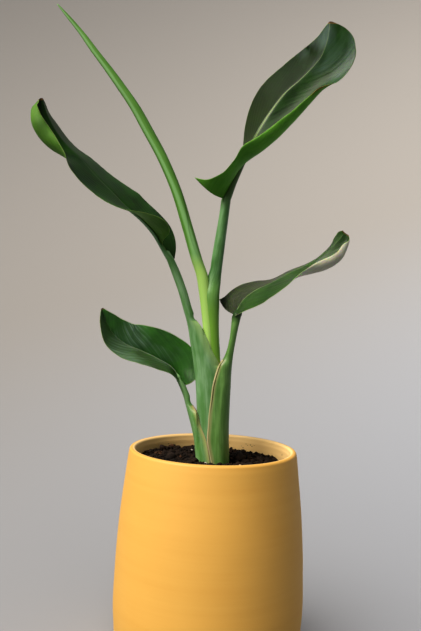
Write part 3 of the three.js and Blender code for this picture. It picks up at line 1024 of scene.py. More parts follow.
@dataclass
class Soil:
    """The potting mix: a settled bed, crumbs on it, and the bits of perlite, bark and fibre among them."""

    pot: Pot
    ring_steps: int = 300
    rings: int = 84
    gap: float = 0.3
    seed: int = 11
    top_mm: float = 168.0
    lumps_mm: tuple[float, float] = (1.3, 7.0)
    pits_mm: tuple[float, float] = (0.5, 1.9)
    ragged: float = 0.26
    tilt_sigma: float = 0.5
    headings: tuple[float, float] = (0.0, 6.283)
    wall_from: float = 158.0
    wall_steps: int = 14
    wall_clear: float = 0.3
    stalk_half_x: float = 16.0
    stalk_half_y: float = 11.0
    stalk_forward: float = 0.5
    fibre_count: int = 150
    fibre_steps: int = 7
    fibre_sides: int = 5
    fibre_mm: tuple[float, float] = (4.0, 13.0)
    fibre_half_mm: tuple[float, float] = (0.12, 0.26)
    fibre_shares: tuple[float, float] = (0.09, 0.9)
    fibre_bend: float = 0.25
    fibre_stalk_clear: float = 1.05
    fibre_arch_mm: float = 0.9
    fibre_lift_mm: float = 0.1
    fibre_wall_clear: float = 4.0
    speck_sunk: float = 0.3

    def surface(self, x: Array, y: Array) -> Array:
        """Returns the crumbly level: the settled one with lumps and pits, each of a height and a width.

        Args:
            x: How far right each place is.
            y: How far back it is.

        Returns:
            The height at each place.
        """
        place = np.stack([x, y, np.zeros_like(x)], -1)
        (lump, lump_width), (pit, pit_width) = self.lumps_mm, self.pits_mm
        rough = lump * ripple(place, lump_width, 5.3, 3) + pit * ripple(place, pit_width, 9.1, 2)
        return soil_height(x, y) + rough

    def bed(self, material: Material) -> Piece:
        """Builds the bed as one closed body that follows the inside of the pot.

        Args:
            material: The peat.

        Returns:
            The bed.
        """
        reach = self.pot.inner_at(SOIL_LEVEL) - self.gap
        shares = np.linspace(0.004, 1, self.rings)[:, None]
        top = turned(np.hstack([reach * shares, 0 * shares]), self.ring_steps)
        top[..., 2] = self.surface(top[..., 0], top[..., 1])
        depths = np.linspace(self.wall_from, self.pot.bowl_top, self.wall_steps)
        wall = np.stack([self.pot.inner_radius(depths) - self.gap, depths], -1)
        lower = turned(np.vstack([wall, self.pot.bowl(self.gap, 6)]), self.ring_steps)
        shape = lofted(np.concatenate([top, lower])[::-1])
        return make_piece("soil_bed", shape, [material], "soil")

    def scatter(self, grains: Grains, material: Material) -> Piece:
        """Strews one kind of broken grain over the bed, as one piece.

        Args:
            grains: The kind of grain.
            material: What it is made of.

        Returns:
            All its grains.
        """
        draw = np.random.default_rng(self.seed + grains.seed)
        corners, facets = broken_ball(grains.detail)
        wall_at = self.pot.inner_at(self.top_mm) - self.gap
        points, faces = [], []
        for k in range(grains.count):
            size = np.array(grains.half_sizes) * math.exp(draw.normal(0, grains.spread))
            reach = wall_at - size.max() - self.wall_clear
            clear = 0.0
            while clear <= 1:
                angle, share = draw.uniform(0, TURN), math.sqrt(draw.uniform(0, 1))
                x, y = reach * share * math.cos(angle), reach * share * math.sin(angle)
                half_x, half_y = self.stalk_half_x + size[0], self.stalk_half_y + size[0]
                clear = math.hypot(x / half_x, (y + self.stalk_forward) / half_y)
            shape = corners * (1 + draw.uniform(-self.ragged, self.ragged, (len(corners), 1))) * size
            heading = Matrix.Rotation(draw.uniform(*self.headings), 3, "Z")
            turn = heading @ Matrix.Rotation(draw.normal(0, self.tilt_sigma), 3, "X")
            shape = shape @ np.array(turn).T
            bed = self.surface(np.array([x]), np.array([y]))[0]
            lift = bed - shape[:, 2].min() - grains.sunk * np.ptp(shape[:, 2])
            points.append(shape + [x, y, lift])
            faces += (facets + k * len(corners)).tolist()
        return make_piece(grains.name, (np.vstack(points), faces), [material])

    def fibres(self, material: Material) -> Piece:
        """Lays thin bent fibres of coir on the bed, as one piece.

        Args:
            material: The coir.

        Returns:
            All the fibres.
        """
        draw = np.random.default_rng(self.seed + 77)
        wall_at = self.pot.inner_at(self.top_mm) - self.fibre_wall_clear
        points, faces, start = [], [], 0
        along = np.linspace(0, 1, self.fibre_steps)
        for _ in range(self.fibre_count):
            length, half = draw.uniform(*self.fibre_mm), draw.uniform(*self.fibre_half_mm)
            angle, share = draw.uniform(0, TURN), math.sqrt(draw.uniform(*self.fibre_shares))
            x, y = wall_at * share * math.cos(angle), wall_at * share * math.sin(angle)
            heading, bend = draw.uniform(0, TURN), draw.normal(0, self.fibre_bend)
            course = heading + bend * along * length / 3
            step = length / (self.fibre_steps - 1)
            xs, ys = x + np.cumsum(np.cos(course)) * step, y + np.cumsum(np.sin(course)) * step
            from_stalk = np.hypot(xs / self.stalk_half_x, ys / self.stalk_half_y)
            clear = from_stalk > self.fibre_stalk_clear
            if not ((np.hypot(xs, ys) < wall_at) & clear).all():
                continue
            arch = draw.uniform(0, self.fibre_arch_mm) * np.sin(along * math.pi)
            zs = self.surface(xs, ys).max() + self.fibre_lift_mm + arch
            halves = np.full(self.fibre_steps, half)
            tube, skin = tube_mesh(np.stack([xs, ys, zs], -1), halves, self.fibre_sides)
            points.append(tube)
            faces += [[corner + start for corner in face] for face in skin]
            start += len(tube)
        return make_piece("soil_fibres", (np.vstack(points), faces), [material])

    def specks(self, material: Material) -> Piece:
        """Sticks the few crumbs that cling to the inside of the back wall, as one piece.

        Args:
            material: The peat.

        Returns:
            All the crumbs on the wall.
        """
        draw = np.random.default_rng(self.seed + 5)
        corners, facets = broken_ball(1)
        points, faces = [], []
        for k, (angle, z, size) in enumerate(SPECKS):
            turn, radius = math.radians(angle), self.pot.inner_at(z) - self.speck_sunk * size
            shape = corners * (1 + draw.uniform(-0.3, 0.3, (len(corners), 1))) * size
            points.append(shape + [radius * math.cos(turn), radius * math.sin(turn), z])
            faces += (facets + k * len(corners)).tolist()
        return make_piece("soil_specks", (np.vstack(points), faces), [material])

    def build(self) -> None:
        """Builds the bed and all that lies on it."""
        peat = Crumb().material()
        bark = Crumb("composted_bark", dark="#22150d", light="#5a3c25", grain_mm=0.9, relief_mm=0.3)
        perlite = Crumb("expanded_perlite", dark="#a39a8c", light="#d8d2c6", grain_mm=0.5, relief_mm=0.2)
        coir = Crumb("coir_fibre", dark="#3a2415", light="#7a5433", grain_mm=0.6, relief_mm=0.1)
        self.bed(peat)
        self.scatter(Grains("soil_crumbs", 1900, (1.25, 1.0, 0.85), seed=1, spread=0.5), peat)
        self.scatter(Grains("soil_dust", 3600, (0.62, 0.52, 0.45), seed=2, detail=1, spread=0.25), peat)
        self.scatter(Grains("bark_chips", 110, (2.6, 1.3, 0.6), seed=3), bark.material())
        self.scatter(Grains("perlite_grains", 34, (0.8, 0.7, 0.65), seed=4), perlite.material())
        self.fibres(coir.material())
        self.specks(peat)


class FreeSide(Enum):
    """On which side a sheath's own margin lies, or that it has none."""

    LEFT = -1
    NONE = 0
    RIGHT = 1


def taut(x: Array, y: Array) -> Array:
    """Stretches a skin over points of rising x, so that it bridges every hollow between them.

    Args:
        x: Where the points lie.
        y: How high each of them is.

    Returns:
        The skin's height at each x.
    """
    held = []
    for k in range(len(x)):
        while len(held) > 1:
            first, last = held[-2:]
            rise = (x[last] - x[first]) * (y[k] - y[first]) - (y[last] - y[first]) * (x[k] - x[first])
            if rise > 0:
                break
            held.pop()
        held.append(k)
    return np.interp(x, x[held], y[held])


def wrapped_depths(rings: Sequence[Array], x: Array) -> tuple[Array, Array]:
    """Returns the front and back of what is wrapped, at each x of one level.

    Args:
        rings: The rings that lie inside at this level.
        x: Where to look.

    Returns:
        The lowest and the highest y there, infinite beside the rings.
    """
    low, high = np.full(len(x), np.inf), np.full(len(x), -np.inf)
    for ring in rings:
        start, end = ring[:, :2], np.roll(ring[:, :2], -1, axis=0)
        run = end[:, 0] - start[:, 0]
        share = (x[:, None] - start[:, 0]) / np.where(np.abs(run) < 1e-9, 1e-9, run)
        y = start[:, 1] + share * (end[:, 1] - start[:, 1])
        met = (share >= 0) & (share <= 1)
        low = np.minimum(low, np.where(met, y, np.inf).min(1))
        high = np.maximum(high, np.where(met, y, -np.inf).max(1))
    return low, high


def skin_places(place: Array) -> dict[str, Array]:
    """Returns a stalk's places on its skin as an attribute of its lofted points."""
    return {STALK_PLACE: np.vstack([place.reshape(-1, 3), place[0].mean(0), place[-1].mean(0)])}


@dataclass
class Stalk:
    """One leaf stalk with its clasping sheath.

    Each row holds height, left x, right x, middle y, half depth and, over the sheath, its margin's x.
    """

    name: str
    node: str
    free_side: FreeSide
    rows: Rows
    finish: Finish
    hug_mm: float = 11.0
    hem_mm: float = 0.22
    hem_at_mm: float = 0.9
    hem_half_mm: float = 0.7
    skin_gap: float = 0.3
    farthest_round: float = 0.98
    end_shrink: float = 0.06
    end_levels: tuple[float, ...] = (0.96, 0.93, 0.5, 0.0)
    grip_mm: tuple[float, float] = (0.6, 3.0)
    sheath_angles: tuple[float, float] = (0.05, 0.3)
    arc_steps: int = 42

    def section(self, z: Array) -> Array:
        """Returns left, right, middle, half depth and margin at each height."""
        no_margin = 1 if self.free_side is FreeSide.LEFT else 2
        return smooth([[*row[:5], row[5] if len(row) > 5 else row[no_margin]] for row in self.rows], z)

    def outline(self, z: Array, inner: Sequence[Array]) -> tuple[Array, Array]:
        """Returns the rings of the stalk, whose margin lies down on what the sheath wraps.

        Args:
            z: The level of each ring.
            inner: The rings already made at the same levels, up to their own top.

        Returns:
            The rings, and for each point the distance along the skin, its height and how far the margin is.
        """
        left, right, middle, depth, margin = self.section(z).T
        mirror = -1.0 if self.free_side is FreeSide.LEFT else 1.0
        centre, half = (left + right) / 2, (right - left) / 2
        end = np.arccos(np.clip(mirror * (margin - centre) / half, -self.farthest_round, 1.0))
        theta = math.pi + (end[:, None] - math.pi) * np.linspace(0, 1, self.arc_steps)
        x = centre[:, None] + mirror * half[:, None] * np.cos(theta)
        own = depth[:, None] * np.sin(theta)
        sheathed = ease(end, *self.sheath_angles)[:, None]
        edge = centre + mirror * half * np.cos(end)
        to_margin = np.abs(edge[:, None] - x)
        hug_mm = np.minimum(self.hug_mm, np.abs(edge - centre + mirror * half))[:, None]
        weight = ease(1 - to_margin / hug_mm, 0, 1) * sheathed
        roll = self.hem_mm * np.exp(-(((to_margin - self.hem_at_mm) / self.hem_half_mm) ** 2)) * sheathed
        front, back = middle[:, None] - own, middle[:, None] + own
        for i in range(len(z)):
            wrapped = [ring[i] for ring in inner if i < len(ring)]
            if not wrapped or weight[i].max() <= 0:
                continue
            low, high = wrapped_depths(wrapped, x[i])
            held = np.isfinite(low)
            low = np.where(held, low - self.skin_gap, front[i])
            high = np.where(held, high + self.skin_gap, back[i])
            grip = np.where(held, weight[i] * ease(high - low, *self.grip_mm), 0)
            front[i] = taut(mirror * x[i], np.minimum(front[i] + (low - front[i]) * grip, low))
            back[i] = -taut(mirror * x[i], -np.maximum(back[i] + (high - back[i]) * grip, high))
        level = np.repeat(z[:, None], self.arc_steps, 1)
        near, far = np.stack([x, front - roll, level], -1), np.stack([x, back + roll, level], -1)
        rings = np.concatenate([near, far[:, ::-1]], 1)
        off = np.where(sheathed > 0.02, to_margin, NO_MARGIN)
        girth = np.cumsum(np.linalg.norm(np.diff(rings, axis=1, prepend=rings[:, :1]), axis=-1), 1)
        place = np.stack([girth, rings[..., 2], np.concatenate([off, off[:, ::-1]], 1)], -1)
        return (rings[:, ::-1], place[:, ::-1]) if mirror < 0 else (rings, place)

    def build(self, levels: Array, inner: Sequence[Array]) -> Array:
        """Builds the stalk over what it wraps.

        Args:
            levels: The heights that all stalks share.
            inner: The rings of what lies inside it.

        Returns:
            Its own rings at those levels.
        """
        top = self.rows[-1][0]
        ends = top - np.array(self.end_levels) * RIB_OVERLAP
        rings, place = self.outline(np.append(levels[levels < top - RIB_OVERLAP], ends), inner)
        # The blade's rib takes over here, so the stalk's end hides just inside it
        rings[-3:] += (rings[-3:].mean(1, keepdims=True) - rings[-3:]) * self.end_shrink
        places = skin_places(place)
        make_piece(self.name, lofted(rings), [self.finish.material()], self.node, places)
        return rings


@dataclass
class Spear:
    """The youngest leaf: a blade rolled round itself, so that one margin runs up it as a fine step.

    Its front left carries a paler stripe, partly its waxy bloom and partly a painted highlight where the
    light falls. The rows of the seam and of that stripe hold height and angle in degrees, those of
    bloom_and_highlight_half height and the stripe's half width in degrees.
    """

    rows: Rows
    finish: Finish
    seam: Rows = ((148, -25), (335, -25), (352, -62), (372, -88), (402, -52), (430, -28), (590, 40))
    seam_mm: float = 0.24
    seam_most: float = 0.25
    bloom_and_highlight_band: Rows = ((148, -95), (350, -88), (372, -84), (402, -97), (430, -110), (590, -118))
    bloom_and_highlight_half: Rows = ((148, 70), (345, 70), (362, 42), (385, 28), (400, 25), (590, 25))
    sides: int = 90
    level_mm: float = 1.5

    def outline(self, z: Array) -> tuple[Array, Array]:
        """Returns its rings at each height, and the place of each point on the skin.

        Args:
            z: The level of each ring.

        Returns:
            The rings, and for each point the distance along the skin, its height and how far it is from
            the middle of the paler stripe of bloom and painted highlight, where 2 is the stripe's edge.
        """
        left, right, middle, depth = smooth(self.rows, z).T[..., None]
        centre, half = (left + right) / 2, (right - left) / 2
        share = np.linspace(0, 1, self.sides)
        start, bloom_and_highlight_band, half_highlight_band = (
            np.radians(smooth(rows, z))[:, None] for rows in (self.seam, self.bloom_and_highlight_band, self.bloom_and_highlight_half)
        )
        angle = start + TURN * share
        step = np.minimum(self.seam_mm, half * self.seam_most) * (1 - share)
        x = centre + (half - step) * np.cos(angle)
        y = middle + (depth - step) * np.sin(angle)
        level = np.repeat(z[:, None], self.sides, 1)
        # Distance from the middle of the paler stripe, partly bloom and partly a painted highlight
        off = np.abs((angle - bloom_and_highlight_band + math.pi) % TURN - math.pi)
        place = np.stack([TURN * half * share, level, 2 * off / half_highlight_band], -1)
        return np.stack([x, y, level], -1), place

    def build(self, levels: Array) -> Array:
        """Builds the spear and returns its rings at the shared levels.

        Args:
            levels: The heights that all stalks share.

        Returns:
            Its rings at those levels.
        """
        foot, top = self.rows[0][0], self.rows[-1][0]
        rings, place = self.outline(np.append(np.arange(foot, top, self.level_mm), top))
        material = self.finish.material()
        make_piece("spear", lofted(rings), [material], "spear_leaf", skin_places(place))
        return self.outline(levels)[0]


@dataclass(frozen=True)
class DryPatch:
    """A dried stretch of a blade's margin: where it starts and ends, its half (0 for both) and width."""

    start: float
    end: float
    half: int
    width_mm: float
    strength: float = 1.0

    def reach(self, s: Array) -> Array:
        """Returns how strong the patch is at each share of the length.

        Args:
            s: Shares of the blade's length.

        Returns:
            From 0 to 1 at each of them.
        """
        if self.end >= 1:
            return ease(s, self.start, 1.0)
        middle = (self.start + self.end) / 2
        return ease(s, self.start, middle) * ease(s, self.end, middle)


@dataclass
class Blade:
    """One blade: a midrib through space and each half's width, angles and sweep along it.

    Each station holds share of length, half width, angle at the midrib, angle at the margin and forward
    sweep. An angle of 0 lies square to the view, 90 points at the viewer and -90 away from it.
    """

    name: str
    node: str
    stalk: Stalk
    midrib: Rows
    left: Rows
    right: Rows
    seed: float
    patches: Sequence[DryPatch]
    skin: BladeSkin
    bulge_mm: tuple[float, float] = (1.0, 1.0)
    bulge_gone_by: float = 0.06
    length_steps: int = 210
    half_steps: int = 30
    thick_mm: float = 0.5
    margin_mm: float = 0.26
    wave_mm: float = 0.7
    wave_pitch_mm: float = 26.0
    still_end: float = 0.08
    vein_mm: float = 0.05
    vein_pitch_mm: float = 9.5
    vein_full_by: float = 0.15
    groove_mm: float = 0.55
    groove_half_mm: float = 1.3
    ridge_share: float = 0.8
    taper: float = 0.7
    dry_reach: float = 1.2
    dry_ragged: float = 0.5
    ragged_mm: float = 5.0
    rib_sides: int = 56
    rib_steps: int = 90
    rib_sunk_mm: float = 0.1
    rib_flat_mm: float = 0.12
    rib_span: tuple[float, float] = (0.04, 0.985)
    rib_crowding: float = 1.4
    rib_turned_by: float = 0.09
    rib_pressed: tuple[float, float] = (0.01, 0.06)
    rib_on_line_by: float = 0.07
    # The rib's first rings, round the stalk's end: share of the overlap, and scale
    rib_cuff: Rows = ((1, 0.85), (0.998, 1.006), (0.97, 1.006), (0.66, 1.006), (0.33, 1.003), (0, 1))
    # Half width of the rib as a share of the stalk's, by share of the blade's length
    rib_shares: Rows = (
        (0, 1), (0.05, 0.97), (0.12, 0.88), (0.2, 0.74), (0.28, 0.6), (0.4, 0.38), (0.6, 0.22), (1, 0.08),
    )

    def midrib_at(self, share: Array) -> Array:
        """Returns points on the midrib at shares of its length.

        Args:
            share: Shares of its length.

        Returns:
            One point for each.
        """
        points = np.array(self.midrib, float)
        lengths = np.cumsum(np.linalg.norm(np.diff(points, axis=0, prepend=points[:1]), axis=1))
        return smooth(np.column_stack([lengths / lengths[-1], points]), share)

    def frames(self, share: Array) -> tuple[Array, Array, Array]:
        """Returns the directions along, across and towards the viewer at shares of the midrib.

        Args:
            share: Shares of its length.

        Returns:
            Three directions for each.
        """
        ahead, behind = np.minimum(share + 0.01, 1), np.maximum(share - 0.01, 0)
        along = unit(self.midrib_at(ahead) - self.midrib_at(behind))
        towards = unit(VIEWER - (along @ VIEWER)[:, None] * along)
        return along, np.cross(along, towards), towards

    def sheet(self) -> tuple[Array, Array, Array]:
        """Returns the middle surface, each point's distance from the midrib and each row's half widths.

        Returns:
            The points row by row, their distances, and the left and right half width of each row.
        """
        s = np.linspace(0, 1, self.length_steps + 1)
        columns = np.linspace(0, 1, self.half_steps + 1)
        along, across, towards = self.frames(s)
        halves, offsets, widths = [], [], []
        for stations, sign, bulge in zip((self.left, self.right), (-1, 1), self.bulge_mm):
            width, inner, outer, sweep = smooth(stations, s).T
            points = [self.midrib_at(s)]
            for k in range(self.half_steps):
                share = (k + 0.5) / self.half_steps
                angle = np.radians(inner + (outer - inner) * share**2)[:, None]
                step = sign * np.cos(angle) * across + np.sin(angle) * towards
                step += (sweep * share)[:, None] * along
                points.append(points[-1] + step * (width / self.half_steps)[:, None])
            fading = 1 - ease(s, 0, self.bulge_gone_by)
            bow = (bulge * np.sin(math.pi * columns))[:, None] * fading[:, None, None]
            halves.append(np.stack(points, 1) - along[:, None] * bow)
            offsets.append(sign * width[:, None] * columns)
            widths.append(width)
        grid, across_mm = (np.concatenate([a[:, ::-1], b[:, 1:]], 1) for a, b in (halves, offsets))
        return grid, across_mm, np.stack(widths, 1)

    def build(self) -> Piece:
        """Builds the blade as a thin closed body with its midrib below it.

        Returns:
            The blade.
        """
        grid, across_mm, widths = self.sheet()
        rows, columns = grid.shape[:2]
        normal = unit(np.cross(np.gradient(grid, axis=1), np.gradient(grid, axis=0)))
        s = np.linspace(0, 1, rows)[:, None]
        length = np.linalg.norm(np.diff(self.midrib_at(s[:, 0]), axis=0), axis=1).sum()
        width_here = np.where(across_mm < 0, widths[:, :1], widths[:, 1:])
        away = np.abs(across_mm)
        share = away / width_here
        ones = np.ones_like(share)
        along_mm = s * length * ones
        flat = np.stack([across_mm, along_mm, self.seed * ones], -1)
        wave = self.wave_mm * ripple(flat * [0.4, 1, 1], self.wave_pitch_mm, self.seed + 4.2, 2) * share**2
        wave *= ease(s, 0, self.still_end) * ease(s, 1.0, 1 - self.still_end)
        phase = TURN * (along_mm - self.skin.vein_slope * away) / self.vein_pitch_mm
        veins = self.vein_mm * np.sin(phase) * ease(share, 0, self.vein_full_by)
        half_thick = (self.thick_mm + (self.margin_mm - self.thick_mm) * share) / 2
        taper = 1 - self.taper * s
        groove = self.groove_mm * taper * np.exp(-((across_mm / self.groove_half_mm) ** 2))
        middle = grid + normal * (wave + veins)[..., None]
        upper = middle + normal * (half_thick - groove)[..., None]
        under = middle - normal * (half_thick + groove * self.ridge_share)[..., None]
        above, below = grid_faces(rows, columns), grid_faces(rows, columns, start=rows * columns)[:, ::-1]
        faces = np.vstack([above, below]).tolist() + self.rim(rows, columns)
        rib_points, rib_faces, rib_place = self.rib(normal)
        wearing = np.array([0] * len(faces) + [1] * len(rib_faces))
        start = 2 * rows * columns
        faces += [[corner + start for corner in face] for face in rib_faces]
        dry = self.dryness(s * ones, across_mm, width_here, flat)
        edge_mm = np.minimum(width_here - away, (1 - s) * length)
        marks = np.stack([edge_mm, taper * ones, dry], -1)
        sides = [np.stack([across_mm, along_mm, side * ones], -1) for side in (1, 0)]
        blank = np.zeros((len(rib_points), 3))
        attributes = {
            LEAF_PLACE: np.vstack([*(side.reshape(-1, 3) for side in sides), blank]),
            LEAF_MARKS: np.vstack([marks.reshape(-1, 3), marks.reshape(-1, 3), blank]),
            STALK_PLACE: np.vstack([np.zeros((start, 3)), rib_place]),
        }
        shape = np.vstack([upper.reshape(-1, 3), under.reshape(-1, 3), rib_points]), faces
        materials = [self.skin.material(), self.stalk.finish.material()]
        return make_piece(self.name, shape, materials, self.node, attributes, wearing)

    @staticmethod
    def rim(rows: int, columns: int) -> list:
        """Returns the faces that join the upper and the under skin round the margin.

        Args:
            rows: How many rows of points each skin has.
            columns: How many points a row has.

        Returns:
            The four points of each face.
        """
        under, tip = rows * columns, (rows - 1) * columns
        pairs = []
        for left in range(0, tip, columns):
            right = left + columns - 1
            pairs += [(left, left + columns), (right + columns, right)]
        for j in range(columns - 1):
            pairs += [(j + 1, j), (tip + j, tip + j + 1)]
        return [[a, b, under + b, under + a] for a, b in pairs]

    def rib(self, normal: Array) -> tuple[Array, list, Array]:
        """Builds the rib under the blade, which takes over from the stalk and thins out to the tip.

        Args:
            normal: The upper side's direction at each point of the sheet.

        Returns:
            Points, faces and the place of each point as on a stalk.
        """
        angle = np.linspace(0, TURN, self.rib_sides, endpoint=False)
        top = self.stalk.rows[-1][0]
        rings = []
        for share, scale in self.rib_cuff:
            level = top - share * RIB_OVERLAP
            left, right, middle, depth = self.stalk.section(np.array([level]))[0, :4]
            half = (right - left) / 2
            foot = np.array([(left + right) / 2, middle, level])
            section = np.stack([half * np.cos(angle), depth * np.sin(angle), 0 * angle], -1)
            rings.append(foot + scale * section)
        s = np.linspace(*self.rib_span, self.rib_steps) ** self.rib_crowding
        _, across, towards = self.frames(s)
        place = self.midrib_at(s)
        shift = foot - self.midrib_at(np.zeros(1))[0]
        up = normal[np.rint(s * (len(normal) - 1)).astype(int), normal.shape[1] // 2]
        radius = smooth([(share, half * of_stalk) for share, of_stalk in self.rib_shares], s)
        turning, pressed = ease(s, 0, self.rib_turned_by), ease(s, *self.rib_pressed)
        leaving = 1 - ease(s, 0, self.rib_on_line_by)
        for k in range(self.rib_steps):
            aside = unit(np.array([1.0, 0, 0]) * (1 - turning[k]) + across[k] * turning[k])
            back = unit(np.array([0, 1.0, 0]) * (1 - turning[k]) - towards[k] * turning[k])
            ring = radius[k] * (np.cos(angle)[:, None] * aside + np.sin(angle)[:, None] * back)
            # The side at the blade is pressed flat, just inside its skin
            proud = np.maximum(ring @ up[k] + self.rib_flat_mm, 0) * pressed[k]
            ring = ring - up[k] * proud[:, None]
            rings.append(place[k] + ring - up[k] * self.rib_sunk_mm + shift * leaving[k])
        rings = np.array(rings)
        points, faces = lofted(rings)
        mirrored = self.stalk.free_side is FreeSide.LEFT
        turn = (-angle if mirrored else angle - math.pi) % TURN
        girth = np.repeat((turn * (half + depth) / 2)[None], len(rings), 0)
        height = np.repeat(rings[:, :1, 2], self.rib_sides, 1)
        at = np.stack([girth, height, np.full_like(girth, NO_MARGIN)], -1).reshape(-1, 3)
        return points, faces, np.vstack([at, at[:1], at[-1:]])

    def dryness(self, s: Array, across: Array, width: Array, flat: Array) -> Array:
        """Returns how dry each point is, from 0 to 1, with ragged borders.

        Args:
            s: Each point's share of the length.
            across: Its distance from the midrib.
            width: The half width there.
            flat: Its place on the flattened blade.

        Returns:
            One value for each point.
        """
        ragged = ripple(flat, self.ragged_mm, self.seed + 8.8, 3)
        found = np.zeros_like(s)
        for patch in self.patches:
            side = (np.sign(across) == patch.half) | (patch.half == 0)
            inward = (width - np.abs(across)) / patch.width_mm
            depth = (self.dry_reach - inward + self.dry_ragged * ragged).clip(0, 1)
            found = np.maximum(found, side * patch.reach(s) * depth * patch.strength)
        return found


@dataclass
class Sliver:
    """A dry root end that lies half sunk in the mix: each point is x, y and its rise from the soil."""

    name: str
    node: str
    radius: float
    path: Rows
    steps: int = 28
    sides: int = 14
    taper: float = 0.45
    knob_share: float = 0.09
    knob_angle: float = 23.0
    tip: tuple[float, float] = (1.06, 0.9)

    def build(self, material: Material) -> Piece:
        """Builds the sliver as a tapering, slightly knobbly strand.

        Args:
            material: The dry root.

        Returns:
            The sliver.
        """
        x, y, rise = np.array(self.path, float).T
        laid = np.stack([np.linspace(0, 1, len(x)), x, y, soil_height(x, y) + rise], -1)
        share = np.linspace(0, 1, self.steps)
        knobs = 1 + self.knob_share * np.sin(share * self.knob_angle)
        radii = self.radius * (1 - self.taper * share) * knobs * ease(share, *self.tip)
        shape = tube_mesh(smooth(laid, share), radii, self.sides)
        return make_piece(self.name, shape, [material], self.node)


SPEAR_ROWS = (
    (STALK_FOOT, -6, 2, -1, 3.5), (190, -8, 0, -1, 4), (222, -9.5, -1, -1.2, 4.4),
    (243, -10.5, -1.8, -1.5, 4.7), (262, -11.5, -2.5, -2, 5), (291, -13.4, -3.6, -1.8, 5.2),
    (311, -16.1, -5.8, -1.6, 5.2), (327, -18.7, -7.6, -1.5, 5.1), (340, -21.3, -10, -1.6, 5),
    (354, -26.3, -15.3, -2, 5), (384, -35.9, -25.3, -1.5, 4.9), (421, -48.8, -38.2, -1, 4.8),
    (450, -62.8, -51.8, 0, 4.7), (473, -76.3, -65.1, 1, 4.4), (495, -89.3, -78.5, 1.5, 4.1),
    (513, -102.1, -91.9, 2, 3.7), (530, -114.6, -105.4, 3, 3.1), (546, -127, -119, 4, 2.6),
    (563, -139.3, -133, 5, 1.9), (581, -154, -150, 6, 1.2), (590, -161, -159.4, 6.5, 0.5),
)

UPPER_RIGHT_ROWS = (
    (STALK_FOOT, -7, 8, 0.5, 5.8), (190, -8.5, 7, 0.5, 6), (222, -9.5, 6, 0.5, 6.2),
    (243, -10, 5, 0.5, 6.2), (262, -10.5, 4, 0, 6), (291, -11.5, 1.7, -0.8, 5.8),
    (311, -12.5, 1.2, -1.8, 5.6), (324, -13, 1, -1.9, 5.4), (334, -12.3, 1.8, 0.8, 5),
    (341, -10, 2.1, 1.5, 4.7), (346, -8.6, 2.5, 1.5, 4.6), (357, -7.3, 3.5, 1.5, 4.8),
    (374, -5, 5, 1.5, 4.6), (402, -1.2, 7.7, 2, 4.3), (411.5, -0.3, 8.5, 2, 4.2),
)

UPPER_LEFT_ROWS = (
    (STALK_FOOT, -10.5, 11.5, -0.5, 8.6), (166, -13, 12, -0.5, 9), (190, -15, 10.5, -0.5, 9),
    (222, -16.9, 9, -0.5, 8.8), (243, -18.7, 8, -0.5, 8.5), (255, -20.5, 7.2, -0.5, 8.3, 5),
    (261, -21.4, 7, -0.5, 8.2, 1.9), (268, -22.6, 6.8, -0.5, 8.1, -2.5), (276, -24.3, 6, -0.5, 7.8, -6.2),
    (284, -25.8, 4, -0.6, 7.4, -9.8), (291.5, -27.2, 0, -0.8, 6.8, -14), (298, -28.8, -19, -1.5, 4.6),
    (306, -31.4, -22.6, -2, 4.3), (326, -37.8, -29.4, -3, 4.1), (342, -44.2, -35.9, -3.5, 3.9),
    (353, -48.8, -41.2, -4, 3.7),
)

LOWER_RIGHT_ROWS = (
    (STALK_FOOT, -12, 14, -1, 10.5, -1), (166, -13, 15.5, -1, 11, -1.2), (190, -10, 14.5, -1, 10.6, -5.9),
    (201, -9.5, 14.2, -1, 10.3, -5.4), (214, -9, 14.2, -1, 10, -4.9), (226, -8, 14.3, -1, 9.6, -3.7),
    (239, -6, 14.6, -1.5, 9.2, -2.5), (249, -4, 14.6, -2, 8.8, -0.3), (258, 0, 15, -3, 7.5, 2.7),
    (263, 5.8, 15.3, -4.2, 4.6), (270, 9, 16, -5, 3.4), (280, 11.3, 17.4, -5.5, 3.2),
    (292, 12.6, 19.3, -6, 3.2), (303, 13.2, 21.6, -6, 3.4),
)

LOWER_LEFT_ROWS = (
    (STALK_FOOT, -13, 12, -1, 10.5, -1.8), (165.5, -15.3, 14, -1, 11, -1.9), (176, -16.6, 12, -1, 11, -3.6),
    (188, -18.2, 9, -1, 10.8, -6.6), (201, -21.5, 3, -0.5, 10, -12), (212, -24.8, -6, 0, 8, -15.5),
    (219, -27, -20, 1.5, 4.2), (228, -30, -23.6, 3.5, 3.3), (237, -34.3, -27.8, 6, 3.2),
    (243, -37.6, -31, 8, 3),
)

LOWER_LEFT_BLADE = (
    (
        (-34, 8, 243), (-40, 7, 252), (-54, 3, 261), (-70, -2, 268.5), (-84, -7, 274.5), (-95, -11, 283.5),
        (-101.5, -14, 294.5), (-105.5, -16, 306.5),
    ),
    (
        (0, 4, 80, 84, -0.4), (0.05, 12, 80, 84, -0.3), (0.14, 21, 80, 84, -0.15), (0.25, 26, 77, 81, 0),
        (0.5, 28.5, 70, 73, 0.1), (0.75, 22, 64, 71, 0.1), (0.9, 9.5, 64, 72, 0.1), (1, 1, 60, 60, 0.3),
    ),
    (
        (0, 8, 70, 75, -1.9), (0.05, 18, 36, 28, -1.25), (0.12, 25, 14, -5, -0.55),
        (0.22, 27, 10, -22, -0.1), (0.36, 26.4, 5, -34, 0.05), (0.5, 23.2, 0, -38, 0.12),
        (0.62, 19.6, 0, -40, 0.22), (0.75, 16, 0, -42, 0.4), (0.9, 8.6, 0, -42, 0.5), (1, 1, 0, 0, 0.4),
    ),
)

